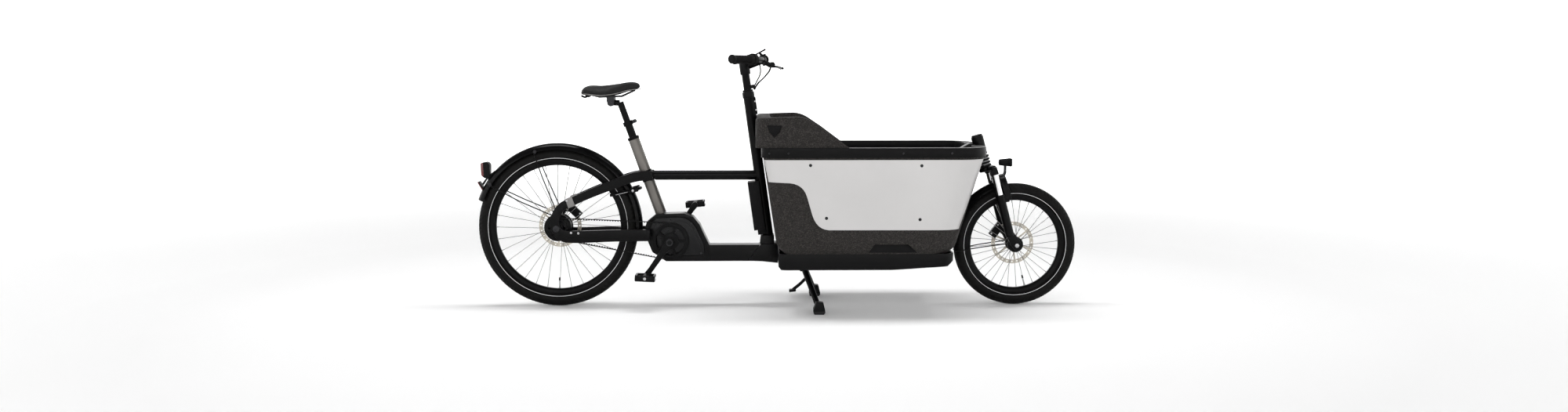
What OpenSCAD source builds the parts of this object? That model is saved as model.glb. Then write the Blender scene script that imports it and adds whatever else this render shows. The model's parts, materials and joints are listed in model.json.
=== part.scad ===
// Cargo bicycle: a long low frame carries a foam load box between the rider and
// a small front wheel, which the handlebar turns through cables in the frame.
// Lengths are in millimetres. +X points forward, +Y to the rider's left and +Z up.
// The origin is on the ground under the middle of the bicycle.
// Every module places its piece from the rear axle's foot: X = 0 is under the rear
// axle there, and bike() moves the whole to the origin.

/* [Wheels] */
// Distance between the two axles
wheelbase = 1924; // [1914:2:1930]
// Outer radius of the rear tyre
rear_r = 334; // [330:1:336]
// Width of the rear tyre
rear_w = 55; // [52:1:57]
// Outer radius of the front tyre
front_r = 258; // [255:1:258]
// Width of the front tyre
front_w = 54; // [52:1:56]
// Spokes in each wheel
spokes = 32; // [24:4:36]
// Radius of the brake rotors
rotor_r = 90; // [80:5:90]

/* [Drive] */
// Distance of the crank axle in front of the rear axle
crank_x = 471; // [465:1:475]
// Height of the crank axle
crank_z = 278; // [274:1:282]
// Length of a crank arm
crank_len = 170; // [160:2.5:172.5]
// Angle of the right crank below the horizontal, pointing backwards
crank_angle = 55; // [0:5:90]
// Pitch radius of the front belt pulley
front_pulley_r = 77; // [74:0.5:78]
// Pitch radius of the rear belt pulley
rear_pulley_r = 42; // [38:0.5:44]
// Width of the belt
belt_w = 11; // [9:1:12]

/* [Seat] */
// Lean of the seat tube from upright
seat_lean = 19.6; // [19:0.1:20]
// Diameter of the seat tube
seat_tube_d = 46; // [44:1:48]
// Diameter of the seat post
post_d = 27.2; // [25.4:0.2:27.2]

/* [Steering] */
// Lean of the steering column from upright
column_lean = 7.8; // [7.5:0.1:8]
// Diameter of the steering column tube
column_d = 45; // [44:0.5:46]
// Lean of the fork from upright
fork_lean = 15; // [14:0.5:16]
// Distance of the front axle ahead of the fork's turning axis
fork_offset = 41; // [38:1:42]
// Distance of a fork leg ahead of the fork's turning axis
leg_offset = 23; // [22:1:24]
// Half the distance between the fork legs
leg_y = 66; // [65:1:68]

/* [Box] */
// Half the width of the load box
box_hw = 300; // [290:2:302]
// Height of the box's floor underside
box_z0 = 252; // [252:1:255]
// Height of the box shell's top edge
box_z1 = 643; // [640:1:645]
// Height of the rim band's top edge
rim_z = 682; // [678:1:690]
// Wall thickness of the foam shell
box_wall = 30; // [26:1:34]

/* [Stand] */
// Half the distance between the stand's feet
foot_y = 227; // [215:1:230]
// Height of the stand's turning axis
stand_z = 168; // [166:1:169]

/* [Hidden] */
$fn = 48;

// The rear axle's place in front of the origin
rear_x = -921;
// Radial gap of a shaft that turns or slides in its bore
run = 0.05;
// Seats of the tyres on the rims
rear_seat = rear_r - 50;
front_seat = front_r - 49;
rim_depth = 23;
rear_axle_d = 15;
front_axle_d = 12;
spindle_d = 24;
belt_t = 2.5;
belt_y = -50;
// Chainstays and yokes lie between these distances from the middle
stay_y0 = 60;
stay_y1 = 78;
// Places that several parts share
seat_top = [319.5, 0, 702.5];
column_mark = [801, 0, 876];
fork_mark = [1791.5, 0, 595.3];
front_axle = [fork_offset, 0, -360.2];
top_tube_z = 552;
top_tube_d = 40;
bracket_hw = 38;
saddle_pivot = [226.5, 0, 856];
stand_x = 1030;
tray_hw = 274;
// Room that the turning front wheel and fork need in the front of the box
wheel_room = [1850, 218, 545];
crown_room = [1790, 100];
post_room_hw = 40;
grip_in = [834, 186, 1034];
grip_out = [737, 325, 1034];
lever_pivot = [902, 124, 1006];

module bike() translate([rear_x, 0, 0]) children();
module both() {
    children();
    mirror([0, 1, 0]) children();
}
// A flat shape in X and Z, thickened from y0 to y1
module side(y0, y1) translate([0, y1, 0]) rotate([90, 0, 0]) linear_extrude(y1 - y0) children();
// A round body about the Y axis, from a profile of radius and -Y
module spin(angle = 360) rotate([90, 0, 0]) rotate_extrude(angle = angle, $fn = 96) children();
module rod(p, q, d) {
    v = q - p;
    translate(p) rotate([0, acos(v[2] / norm(v)), atan2(v[1], v[0])]) cylinder(h = norm(v), d = d);
}
// A rod with bends. Every second length is a little thicker and runs on past its bends to close them
function past_bend(a, b, c, d) =
    let(cosine = (b - a) * (c - b) / norm(b - a) / norm(c - b))
    d / 2 * tan(acos(min(1, cosine)) / 2) + 0.3;
module bent_rod(points, d) {
    last = len(points) - 1;
    for (i = [0 : last - 1]) {
        a = points[i];
        b = points[i + 1];
        along = (b - a) / norm(b - a);
        thick = 1 - i % 2;
        before = thick == 0 || i == 0 ? 0 : past_bend(points[i - 1], a, b, d);
        after = thick == 0 || i == last - 1 ? 0 : past_bend(a, b, points[i + 2], d);
        rod(a - before * along, b + after * along, d + 0.6 * thick);
    }
}
module stadium(tall, wide) {
    square([tall - wide, wide], center = true);
    for (s = [-1, 1]) translate([s * (tall - wide) / 2, 0]) circle(d = wide);
}
// A bar with an upright oval section from p to q
module oval_bar(p, q, tall, wide) {
    v = q - p;
    translate(p) rotate([0, acos(v[2] / norm(v)), atan2(v[1], v[0])])
        linear_extrude(norm(v)) stadium(tall, wide);
}
module knuckle(p, tall, wide) translate(p) rotate([90, 0, 0]) cylinder(h = wide, d = tall, center = true);
// A band of even width along a flat path
module stroke(path, w) {
    for (i = [0 : len(path) - 2]) {
        v = path[i + 1] - path[i];
        translate(path[i]) rotate(atan2(v[1], v[0])) translate([0, -w / 2]) square([norm(v), w]);
    }
    for (p = path) translate(p) circle(d = w + 0.6);
}
// A rectangle from a to b with corner radius r
module rounded(a, b, r) {
    translate([a[0] + r, a[1]]) square([b[0] - a[0] - 2 * r, b[1] - a[1]]);
    translate([a[0], a[1] + r]) square([b[0] - a[0], b[1] - a[1] - 2 * r]);
    for (x = [a[0] + r, b[0] - r], y = [a[1] + r, b[1] - r]) translate([x, y]) circle(r = r);
}
module on_seat_axis() translate(seat_top) rotate([0, -seat_lean, 0]) children();
module on_column() translate(column_mark) rotate([0, -column_lean, 0]) children();
module on_fork() translate(fork_mark) rotate([0, -fork_lean, 0]) children();
module on_rear_axle() translate([0, 0, rear_r]) children();
module on_front_axle() on_fork() translate(front_axle) children();
module on_crank() translate([crank_x, 0, crank_z]) children();

/* ---- frame ---- */

module top_tube() bike() color("#1b1b1c") difference() {
    rod([375, 0, top_tube_z], [845, 0, top_tube_z], top_tube_d);
    on_seat_axis() cylinder(h = 900, d = 56, center = true);
    on_column() cylinder(h = 900, d = column_d, center = true);
}

module seat_tube() bike() color("#6f6c66") on_seat_axis() difference() {
    translate([0, 0, -331]) cylinder(h = 331, d = seat_tube_d);
    translate([0, 0, -250]) cylinder(h = 260, d = 38);
}

module stay_path(wide) {
    p = [[352, 34, 552], [296, 57, 538], [165, 60, 490], [55, 69, 442]];
    for (i = [0 : 2]) oval_bar(p[i], p[i + 1], 42, wide);
    for (i = [0 : 2]) knuckle(p[i], 42, wide);
}

module seat_stays() bike() color("#1b1b1c") {
    difference() {
        union() {
            both() stay_path(22);
            on_seat_axis() translate([0, 0, -184]) cylinder(h = 46, d = 56);
            translate([352, 0, 552]) rotate([90, 0, 0]) cylinder(h = 68, d = 42, center = true);
        }
        on_seat_axis() cylinder(h = 900, d = seat_tube_d, center = true);
        both() side(stay_y0 - 5, 90) translate([20, 400]) square([32, 80]);
    }
}

// Rear dropout yokes, chainstays and the fixed rear axle
module chainstays() bike() color("#1b1b1c") {
    yoke = [[56, 442], [28, 433], [9, 412], [4, 385], [2, 350], [18, 326], [48, 318], [116, 316]];
    both() difference() {
        side(stay_y0, stay_y1) {
            stroke(yoke, 36);
            polygon([[116, 338], [345, 328], [388, 328], [388, 285], [345, 278], [116, 295]]);
            translate([0, rear_r]) circle(d = 44);
        }
        both() stay_path(22);
        on_rear_axle() rotate([90, 0, 0]) cylinder(h = 400, d = rear_axle_d, center = true);
    }
    both() side(bracket_hw, stay_y0 + 1) translate([362, 289]) square([17, 36]);
    on_rear_axle() rotate([90, 0, 0]) cylinder(h = 168, d = rear_axle_d, center = true);
}

module bracket_outline() {
    polygon([[412, 391], [530, 394], [568, 378], [594, 346], [610, 310], [634, 260], [634, 192],
        [452, 192], [395, 231], [360, 318], [374, 360]]);
}
module bracket_window() {
    polygon([[404, 374], [520, 380], [552, 368], [578, 340], [596, 300], [616, 256], [612, 216],
        [460, 212], [412, 244], [380, 320]]);
}

module motor_bracket() bike() color("#161617") difference() {
    side(-bracket_hw, bracket_hw) difference() {
        bracket_outline();
        bracket_window();
    }
    on_seat_axis() cylinder(h = 900, d = seat_tube_d, center = true);
}

module motor_unit() bike() color("#2a2a2c") difference() {
    side(-33, 33) bracket_window();
    on_crank() rotate([90, 0, 0]) cylinder(h = 200, d = spindle_d + 2 * run, center = true);
}

module motor_covers() bike() color("#242426") both() difference() {
    side(33, 41) bracket_window();
    on_crank() rotate([90, 0, 0]) cylinder(h = 200, d = 44, center = true);
}

module main_beam() bike() color("#161617") {
    difference() {
        union() {
            side(-36, 36) polygon([[634, 192], [820, 192], [921, 187], [921, 262], [820, 260], [634, 260]]);
            side(-62, 62) polygon([[800, 200], [921, 187], [921, 266], [850, 266]]);
        }
        side(-30, 30) polygon([[640, 198], [922, 198], [922, 254], [640, 254]]);
    }
    difference() {
        side(-40, 40) polygon([[846, 264], [906, 264], [906, 300], [850, 300]]);
        on_column() cylinder(h = 1400, d = column_d, center = true);
    }
}

// Tray under the box, with the two lugs that carry the stand
module tray_body(inset, z0) intersection() {
    side(-300, 300) polygon([[921 + inset, 200 + inset], [931 + inset, z0], [1380, z0], [1605, z0 + 14],
        [1630 - inset, z0 + 34], [1636 - inset, 300], [921 + inset, 300]]);
    linear_extrude(box_z0 + inset) rounded([900, -tray_hw + inset], [1636 - inset, tray_hw - inset], 60);
}
module chassis_tray() bike() color("#1a1a1b") {
    difference() {
        tray_body(0, 187);
        tray_body(5, 192);
    }
    both() difference() {
        side(70, 82) polygon([[1002, 187], [1058, 187], [1046, 154], [1014, 154]]);
        translate([stand_x, 0, stand_z]) rotate([90, 0, 0]) cylinder(h = 400, d = 22 + 2 * run, center = true);
    }
}

// Front post that rises from the tray, its gusset and the fork's head tube
module head_tube() bike() color("#171718") {
    difference() {
        union() {
            side(-28, 28) polygon([[1602, 232], [1630, 232], [1630, 470], [1692, 590], [1735, 642],
                [1752, 650], [1736, 716], [1690, 716], [1664, 650], [1602, 490]]);
            on_fork() translate([0, 0, 43]) cylinder(h = 87, d = 52);
            on_fork() translate([-27, -27, 116]) cube([54, 54, 14]);
        }
        on_fork() cylinder(h = 400, d = 34, center = true);
    }
}

module column_tube() bike() color("#19191a") on_column() difference() {
    union() {
        translate([0, 0, -611]) cylinder(h = 635, d = column_d);
        cylinder(h = 24, d = column_d + 5);
        translate([12, -10, -72]) cube([16, 20, 72]);
    }
    translate([0, 0, -700]) cylinder(h = 900, d = 40.4);
}

module ring(d_out, d_in, h) difference() {
    cylinder(h = h, d = d_out);
    translate([0, 0, -1]) cylinder(h = h + 2, d = d_in);
}

module bearings() bike() color("#b9bcc0") {
    on_column() for (z = [-600, 4]) translate([0, 0, z]) ring(40.4, 38 + 2 * run, 20);
    on_fork() for (z = [43, 118]) translate([0, 0, z]) ring(34, 28.6 + 2 * run, 12);
}

/* ---- load box ---- */

// Corner posts of the box at one height, to be joined by hull()
module box_ring(z, x0, x1, hw, r0, r1) {
    for (s = [-1, 1]) {
        translate([x0 + r0, s * (hw - r0), z]) cylinder(h = 0.5, r = r0, $fn = 32);
        translate([x1 - r1, s * (hw - r1), z]) cylinder(h = 0.5, r = r1, $fn = 32);
    }
}
module box_body(inset, z0, z1) hull() {
    if (inset < box_wall) box_ring(z0, 948, 1618, box_hw - 26, 24, 90);
    box_ring(z0 + 22, 922 + inset, 1641 - inset, box_hw - 7 - inset, 40, 100);
    box_ring(z0 + 45, 912 + inset, 1649 - inset, box_hw - inset, 40 - inset / 2, 105);
    box_ring(z1 - 0.5, 859 + inset, 1757 - inset, box_hw - inset, 40 - inset / 2, 110);
}
module wheel_scoop(extra) {
    translate([wheel_room[0], 0, 200]) cylinder(h = wheel_room[2] - 200 + extra, r = wheel_room[1] + extra);
    translate([crown_room[0], 0, 200]) cylinder(h = 600, r = crown_room[1] + extra);
    side(-post_room_hw - extra, post_room_hw + extra) polygon([[1594 - extra, 200], [1800, 200], [1800, 760],
        [1650 - extra, 760], [1650 - extra, 640], [1594 - extra, 500]]);
}

module box_shell() bike() color("#3b3835") difference() {
    box_body(0, box_z0, box_z1);
    wheel_scoop(0);
    difference() {
        box_body(box_wall, box_z0 + 26, box_z1 + 2);
        wheel_scoop(26);
    }
    both() side(box_hw - 22, box_hw + 5)
        polygon([[1281, 257], [1481, 257], [1443, 294], [1306, 294]]);
    on_column() cylinder(h = 1400, d = column_d + 6, center = true);
}

// Points of a smooth corner from a to c that leans on b
function bend(a, b, c, n) = [for (k = [0 : n]) let(t = k / n) (1 - t) * (1 - t) * a + 2 * t * (1 - t) * b + t * t * c];
module panel_outline() {
    polygon(concat([[881, 546]], bend([965, 542], [1018, 538], [1034, 488], 6),
        bend([1056, 412], [1074, 356], [1122, 353], 6), [[1650, 352], [1752, 634], [862, 634]]));
}

// Sheet skins that follow both sides of the box around its front corners
module side_panels() bike() color("#d5d3d2") both() intersection() {
    difference() {
        box_body(-2, box_z0, box_z1);
        box_body(0, box_z0, box_z1);
    }
    side(box_hw - 100, box_hw + 10) panel_outline();
    translate([0, box_hw - 100, 0]) cube([1850, 200, 900]);
}

module rim_plan(grow, r0, r1) {
    rounded([852 - grow, -308 - grow], [1500, 308 + grow], r0);
    rounded([1300, -308 - grow], [1765 + grow, 308 + grow], r1);
}
module column_room() on_column() cylinder(h = 1400, d = column_d + 6, center = true);

module rim_band() bike() color("#1c1c1d") difference() {
    translate([0, 0, box_z1]) linear_extrude(rim_z - box_z1) difference() {
        rim_plan(0, 44, 112);
        rounded([894, -266], [1500, 266], 24);
        rounded([1300, -266], [1724, 266], 80);
    }
    translate([0, 0, box_z1 - 1]) linear_extrude(80) translate([crown_room[0], 0]) circle(r = crown_room[1] + 6);
    translate([1640, -46, box_z1 - 1]) cube([160, 92, 80]);
    column_room();
}

// Raised foam edge around the rear of the box
module rear_bolster() bike() color("#3b3835") difference() {
    intersection() {
        side(-400, 400) {
            polygon(concat([[829, rim_z], [829, 780]], bend([830, 788], [834, 800], [848, 801], 4),
                bend([994, 806], [1032, 804], [1062, 783], 5), [[1117, 746], [1203, rim_z]]));
        }
        translate([0, 0, rim_z - 5]) linear_extrude(200) difference() {
            rounded([829, -302], [1300, 302], 40);
            rounded([890, -258], [1400, 258], 30);
        }
    }
    column_room();
    both() side(296, 310) polygon([[873, 774], [936, 773], [928, 745], [905, 723], [884, 745]]);
}

module bolt_at(x, y, z, d, h) translate([x, y, z]) rotate([-90, 0, 0]) cylinder(h = h, d = d, $fn = 24);

module frame_bolts() bike() color("#202021") {
    both() for (p = [[1048, 613], [1492, 611], [1487, 395], [1112, 401]]) bolt_at(p[0], box_hw + 2, p[1], 12, 3);
    both() for (x = [884, 960, 1418, 1612]) bolt_at(x, 308, 661, 8, 2);
    for (x = [1067, 1280, 1492], s = [-1, 1]) translate([x, s * 210, x > 1400 ? 186 : 179])
        cylinder(h = 8, d = 14, $fn = 24);
}

/* ---- rear end ---- */

// The arched section of a mudguard: its crown at radius r, its edges hw to each side
module fender_section(r, hw, arch) {
    lean = asin(hw / arch);
    angles = [for (k = [-4 : 4]) k * lean / 4];
    polygon(concat([for (a = angles) [r - arch + arch * cos(a), arch * sin(a)]],
        [for (k = [8 : -1 : 0]) [r - arch + (arch - 3) * cos(angles[k]), (arch - 3) * sin(angles[k])]]));
}

// Rear mudguard with its front tab and its two pairs of wire stays
module rear_fender() bike() color("#131314") {
    on_rear_axle() rotate([0, 8, 0]) spin(168.5) fender_section(354, 33, 48);
    side(-7, 7) translate([342, 292]) square([29, 14]);
    both() rod([-101, 33, 672], [0, 61, 406], 5);
    both() rod([-290, 33, 518], [-6, 61, 384], 5);
}

// Rear lamp on its bracket and the reflector below it
module tail_light() bike() color("#8c1414") {
    side(-24, 24) polygon([[-318, 606], [-292, 610], [-280, 600], [-282, 548], [-302, 540], [-316, 552]]);
    side(-9, 9) polygon([[-292, 548], [-264, 572], [-258, 566], [-292, 532]]);
    side(-22, 22) polygon([[-334, 524], [-328, 530], [-308, 496], [-314, 490], [-326, 492]]);
}

module ring_lock() bike() color("#8d8f92") {
    translate([205, 0, 469]) rotate([0, -17.7, 0]) difference() {
        translate([0, -57, -12]) cube([151, 114, 24]);
        translate([-5, -41, -20]) cube([126, 82, 40]);
    }
    both() translate([280, 48, 505]) cube([26, 9, 18]);
}

module battery() bike() color("#1d1d1f") difference() {
    on_column() {
        translate([-54, -46, -552]) cube([47, 92, 202]);
        translate([-54, -46, -552]) cube([40, 92, 203]);
        translate([-40, -30, -574]) cube([34, 60, 24]);
    }
    on_column() cylinder(h = 1500, d = column_d, center = true);
}

/* ---- belt drive ---- */

belt_v = [crank_x, crank_z - rear_r];
function belt_normal(s, r1, r2) = atan2(belt_v[1], belt_v[0]) + s * acos((r2 - r1) / norm(belt_v));
function on_circle(c, r, a) = [c[0] + r * cos(a), c[1] + r * sin(a)];
function arc(c, r, a0, a1, n) = [for (k = [0 : n]) on_circle(c, r, a0 + (a1 - a0) * k / n)];
module belt_loop(grow) {
    r1 = front_pulley_r + grow;
    r2 = rear_pulley_r + grow;
    up = belt_normal(1, r1, r2);
    low = belt_normal(-1, r1, r2);
    polygon(concat(arc(belt_v, r1, low, up, 60), arc([0, 0], r2, up, low + 360, 40)));
}

module drive_belt() bike() color("#141414") on_rear_axle() {
    side(belt_y - belt_w / 2, belt_y + belt_w / 2) difference() {
        belt_loop(belt_t);
        belt_loop(0);
    }
    span = sqrt(pow(norm(belt_v), 2) - pow(front_pulley_r - rear_pulley_r, 2));
    for (s = [-1, 1]) {
        a = belt_normal(s, front_pulley_r, rear_pulley_r);
        start = on_circle([0, 0], rear_pulley_r, a);
        for (i = [4 : floor(span / 11) - 4]) side(belt_y - belt_w / 2, belt_y + belt_w / 2)
            translate(start) rotate(a - s * 90) translate([i * 11, s > 0 ? -3 : 0]) square([6, 3]);
    }
}

module rear_pulley() bike() color("#4a4a4b") on_rear_axle() translate([0, belt_y, 0]) rotate([90, 0, 0]) difference() {
    union() {
        cylinder(h = belt_w + 2, r = rear_pulley_r - 0.3, center = true);
        translate([0, 0, -8]) cylinder(h = 16, r = 26);
    }
    cylinder(h = 40, d = rear_axle_d + 2 * run, center = true);
    for (a = [0 : 60 : 300]) rotate(a) translate([31, 0, 0]) cylinder(h = 40, d = 9, center = true);
}

module front_pulley() bike() color("#2c2c2d") on_crank() {
    translate([0, belt_y, 0]) rotate([90, 0, 0]) linear_extrude(8, center = true) difference() {
        circle(r = front_pulley_r - 0.3, $fn = 96);
        for (a = [36 : 72 : 324]) rotate(a) difference() {
            intersection() {
                circle(r = 60);
                polygon([[0, 0], [90, 52], [90, -52]]);
            }
            circle(r = 36);
        }
        circle(d = spindle_d);
    }
    rotate([90, 0, 0]) cylinder(h = 188, d = spindle_d, center = true);
}

module crank_arm() {
    difference() {
        side(-13, 0) {
            circle(r = 20);
            polygon([[0, -17], [crank_len, -12], [crank_len, 12], [0, 17]]);
            translate([crank_len, 0]) circle(r = 14);
        }
        rotate([90, 0, 0]) cylinder(h = 60, d = spindle_d, center = true);
    }
    translate([crank_len, -13, 0]) rotate([90, 0, 0]) cylinder(h = 84, d = 14);
}
module crank_right() bike() color("#191919") on_crank() translate([0, -83, 0])
    rotate([0, 180 - crank_angle, 0]) crank_arm();
module crank_left() bike() color("#191919") on_crank() mirror([0, 1, 0]) translate([0, -83, 0])
    rotate([0, -crank_angle, 0]) crank_arm();

// A flat platform pedal with open pockets, its axle along -Y
module pedal_body() difference() {
    side(-179, -101) difference() {
        translate([-41, -13]) square([82, 26]);
        circle(d = 14 + 2 * run);
    }
    for (x = [-26, 26]) translate([x, -140, 0]) cube([18, 62, 60], center = true);
}
module pedal_at(dir) translate([crank_x - dir * crank_len * cos(crank_angle), 0,
    crank_z - dir * crank_len * sin(crank_angle)]) children();
module pedal_right() bike() color("#222223") pedal_at(1) rotate([0, 3, 0]) pedal_body();
module pedal_left() bike() color("#222223") mirror([0, 1, 0]) pedal_at(-1) rotate([0, -5, 0]) pedal_body();

/* ---- wheels ---- */

module tyre(r, w, seat) spin() difference() {
    translate([r - w / 2, 0]) circle(d = w);
    translate([0, -w]) square([seat, 2 * w]);
}
module rim(seat) spin() polygon([[seat - rim_depth, -7], [seat - rim_depth + 5, -14], [seat, -15], [seat, 15],
    [seat - rim_depth + 5, 14], [seat - rim_depth, 7]]);
module spoke_set(hub_r, rim_r, y_left, y_right, lean) {
    for (i = [0 : spokes - 1]) {
        a = 360 * i / spokes;
        turn = i % 4 < 2 ? lean : -lean;
        y = (i % 2 == 0 ? y_left : y_right) + (i % 4 < 2 ? 2 : -2);
        rod([hub_r * cos(a + turn), y, hub_r * sin(a + turn)],
            [rim_r * cos(a), i % 2 == 0 ? 2 : -2, rim_r * sin(a)], 2.2, $fn = 16);
    }
}
module rotor(y) rotate([90, 0, 0]) translate([0, 0, -y - 2]) linear_extrude(2) {
    difference() {
        circle(r = rotor_r, $fn = 96);
        circle(r = rotor_r - 16, $fn = 96);
        for (a = [0 : 15 : 345]) rotate(a) translate([rotor_r - 8, 0]) circle(d = 6, $fn = 24);
    }
    difference() {
        circle(r = 32);
        circle(r = 21);
    }
    for (a = [0 : 60 : 300]) rotate(a) rotate(24) translate([26, -3.5]) square([54, 7]);
}

module rear_tyre() bike() color("#222120") on_rear_axle() tyre(rear_r, rear_w, rear_seat);
module rear_rim() bike() color("#1a1a1b") on_rear_axle() rim(rear_seat);
module rear_spokes() bike() color("#a8a8a6") on_rear_axle()
    spoke_set(54, rear_seat - rim_depth + 0.5, 28, -28, 9, $fn = 16);
module rear_hub() bike() color("#1c1c1d") on_rear_axle() spin() polygon([
    [rear_axle_d / 2 + run, -46], [21, -46], [21, -40], [52, -34], [57, -31], [57, -25], [53, -22],
    [53, 22], [57, 25], [57, 31], [50, 35], [30, 41], [rear_axle_d / 2 + run, 41]]);
module rear_rotor() bike() color("#b5b0a8") on_rear_axle() rotor(44);
module front_tyre() bike() color("#222120") on_front_axle() tyre(front_r, front_w, front_seat);
module front_rim() bike() color("#1a1a1b") on_front_axle() rim(front_seat);
module front_spokes() bike() color("#a8a8a6") on_front_axle()
    spoke_set(30, front_seat - rim_depth + 0.5, 24, -28, 14, $fn = 16);
module front_hub() bike() color("#1c1c1d") on_front_axle() spin() polygon([
    [front_axle_d / 2 + run, -48], [14, -48], [21, -42], [21, -36], [20, -30], [33, -27], [33, -21],
    [22, -17], [22, 21], [33, 25], [33, 31], [16, 36], [12, 48], [front_axle_d / 2 + run, 48]]);
module front_rotor() bike() color("#b5b0a8") on_front_axle() rotor(38);

// A brake caliper over the rotor's rim, at an angle around the axle
module caliper(angle, y) rotate([0, -angle, 0]) translate([rotor_r - 2, y, 0]) {
    side(-8, -3) rounded([-17, -31], [17, 31], 7);
    side(3, 11.5) rounded([-17, -31], [17, 31], 7);
    side(-8, 11.5) translate([6, -31]) square([11, 62]);
}
module rear_caliper() bike() color("#1f1f20") on_rear_axle() {
    caliper(45, 45);
    side(54, stay_y0) translate([8, 62]) rotate(-8) square([52, 18]);
}

/* ---- seat ---- */

module seat_collar() bike() color("#1d1d1e") on_seat_axis() {
    difference() {
        union() {
            translate([0, 0, -120]) cylinder(h = 120, d = 38);
            translate([0, 0, 0]) cylinder(h = 12, d = seat_tube_d + 3);
            cylinder(h = 76, d = 33);
            translate([0, 0, 62]) cylinder(h = 18, d = 41);
            translate([12, -8, 64]) cube([20, 16, 14]);
        }
        translate([0, 0, -130]) cylinder(h = 300, d = post_d + 2 * run);
    }
    translate([28, 8, 71]) rotate([90, 0, 0]) cylinder(h = 46, d = 8, center = true);
}

// Clamp lever on the cross pin of the seat collar
module seat_lever() bike() color("#1a1a1a") on_seat_axis() translate([28, 0, 71]) {
    difference() {
        side(22, 29) {
            circle(r = 8);
            translate([-44, -5]) square([44, 9]);
            translate([-44, -0.5]) circle(d = 9);
        }
        rotate([90, 0, 0]) cylinder(h = 60, d = 8 + 2 * run, center = true);
    }
}

module seat_post() bike() color("#161617") {
    on_seat_axis() difference() {
        translate([0, 0, -95]) cylinder(h = 260, d = post_d);
        translate([0, 0, -96]) cylinder(h = 240, d = post_d - 5);
    }
    difference() {
        union() {
            translate(saddle_pivot) rotate([90, 0, 0]) cylinder(h = 36, d = 30, center = true);
            rod([262, 0, 855], [235, 0, 856], 24);
        }
        translate(saddle_pivot) rotate([90, 0, 0]) cylinder(h = 60, d = 8 + 2 * run, center = true);
    }
}

module saddle_rails() bike() color("#8f9194") {
    translate(saddle_pivot) rotate([90, 0, 0]) cylinder(h = 60, d = 8, center = true);
    both() difference() {
        side(18.2, 27) {
            translate([saddle_pivot[0], saddle_pivot[2]]) circle(r = 14);
            translate([saddle_pivot[0] - 16, saddle_pivot[2] + 4]) square([32, 24]);
        }
    }
    for (s = [-1, 1]) {
        bent_rod([[326, s * 10, 908], [272, s * 22.5, 883], [182, s * 22.5, 880], [136, s * 34, 892]], 7);
    }
}

module saddle_cover() bike() color("#242425") intersection() {
    side(-120, 120) polygon([[105, 889], [107, 908], [118, 922], [135, 928], [183, 924], [240, 931], [312, 943],
        [334, 940], [350, 928], [352, 918], [336, 906], [281, 897], [250, 882], [212, 876], [170, 880], [140, 887]]);
    linear_extrude(1200) {
        polygon([[104, -52], [112, -78], [130, -92], [158, -96], [190, -82], [220, -56], [260, -36], [330, -24],
            [346, -16], [353, 0], [346, 16], [330, 24], [260, 36], [220, 56], [190, 82], [158, 96], [130, 92],
            [112, 78], [104, 52]]);
    }
}

/* ---- steering and handlebar ---- */

module steering_sleeve() bike() color("#2b2b2c") on_column() difference() {
    union() {
        translate([0, 0, -602]) cylinder(h = 632, d = 38);
        translate([0, 0, 24.5]) cylinder(h = 9, d = 44);
    }
    translate([0, 0, -700]) cylinder(h = 900, d = 33 + 2 * run);
}

module stem() bike() color("#181819") {
    on_column() {
        difference() {
            translate([0, 0, -200]) cylinder(h = 348, d = 33);
            translate([0, 0, -201]) cylinder(h = 300, d = 27);
        }
        translate([0, 0, 98]) cylinder(h = 48, d = 43);
        translate([13, -13, 37]) cube([20, 26, 15]);
    }
    difference() {
        union() {
            rod([790, 0, 1006], [862, 0, 1034], 30);
            translate([864, 0, 1034]) rotate([90, 0, 0]) cylinder(h = 46, d = 42, center = true);
        }
        on_column() translate([0, 0, 60]) cylinder(h = 70, d = 33);
        translate([864, 0, 1034]) rotate([90, 0, 0]) cylinder(h = 80, d = 25.4, center = true);
    }
}

module handlebar() bike() color("#1b1b1c") {
    translate([864, 0, 1034]) rotate([90, 0, 0]) cylinder(h = 60, d = 25.4, center = true);
    both() bent_rod([[864, 0, 1034], [864, 52, 1034], [855, 130, 1034], grip_in, grip_out], 22.2);
}

module on_grip() {
    v = grip_out - grip_in;
    translate(grip_in) rotate([0, 90, atan2(v[1], v[0])]) children();
}
grip_len = norm(grip_out - grip_in);

module grips() bike() color("#1a1a1b") {
    mirror([0, 1, 0]) on_grip() difference() {
        union() {
            translate([0, 0, 62]) cylinder(h = grip_len - 62, d = 32);
            translate([0, 0, grip_len - 8]) cylinder(h = 12, d = 36);
        }
        translate([0, 0, -1]) cylinder(h = grip_len + 1, d = 22.2);
    }
    on_grip() difference() {
        union() {
            translate([0, 0, 34]) cylinder(h = grip_len - 34, d = 32);
            translate([0, 0, grip_len - 8]) cylinder(h = 12, d = 36);
        }
        translate([0, 0, -1]) cylinder(h = grip_len + 1, d = 22.2);
    }
}

module twist_shifter() bike() color("#202021") mirror([0, 1, 0]) on_grip() difference() {
    union() {
        translate([0, 0, 14]) cylinder(h = 47, d = 40);
        translate([0, 0, 14]) cylinder(h = 20, d = 48);
    }
    cylinder(h = 80, d = 22.2 + 2 * run);
}

// Clamp and master cylinder of each brake lever
module brake_perches() bike() color("#202021") both() difference() {
    union() {
        translate([855, 106, 1034]) rotate([90, 0, 6.6]) cylinder(h = 18, d = 32, center = true);
        rod([868, 108, 1024], [892, 110, 1010], 18);
        rod([896, 84, 1012], [900, 132, 1012], 20);
    }
    bent_rod([[864, 52, 1034], [855, 130, 1034]], 22.2);
    translate(lever_pivot - [0, 0, 20]) cylinder(h = 40, d = 6);
    translate([lever_pivot[0] - 16, lever_pivot[1] - 14, lever_pivot[2] - 5.5]) cube([40, 60, 11]);
}

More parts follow.
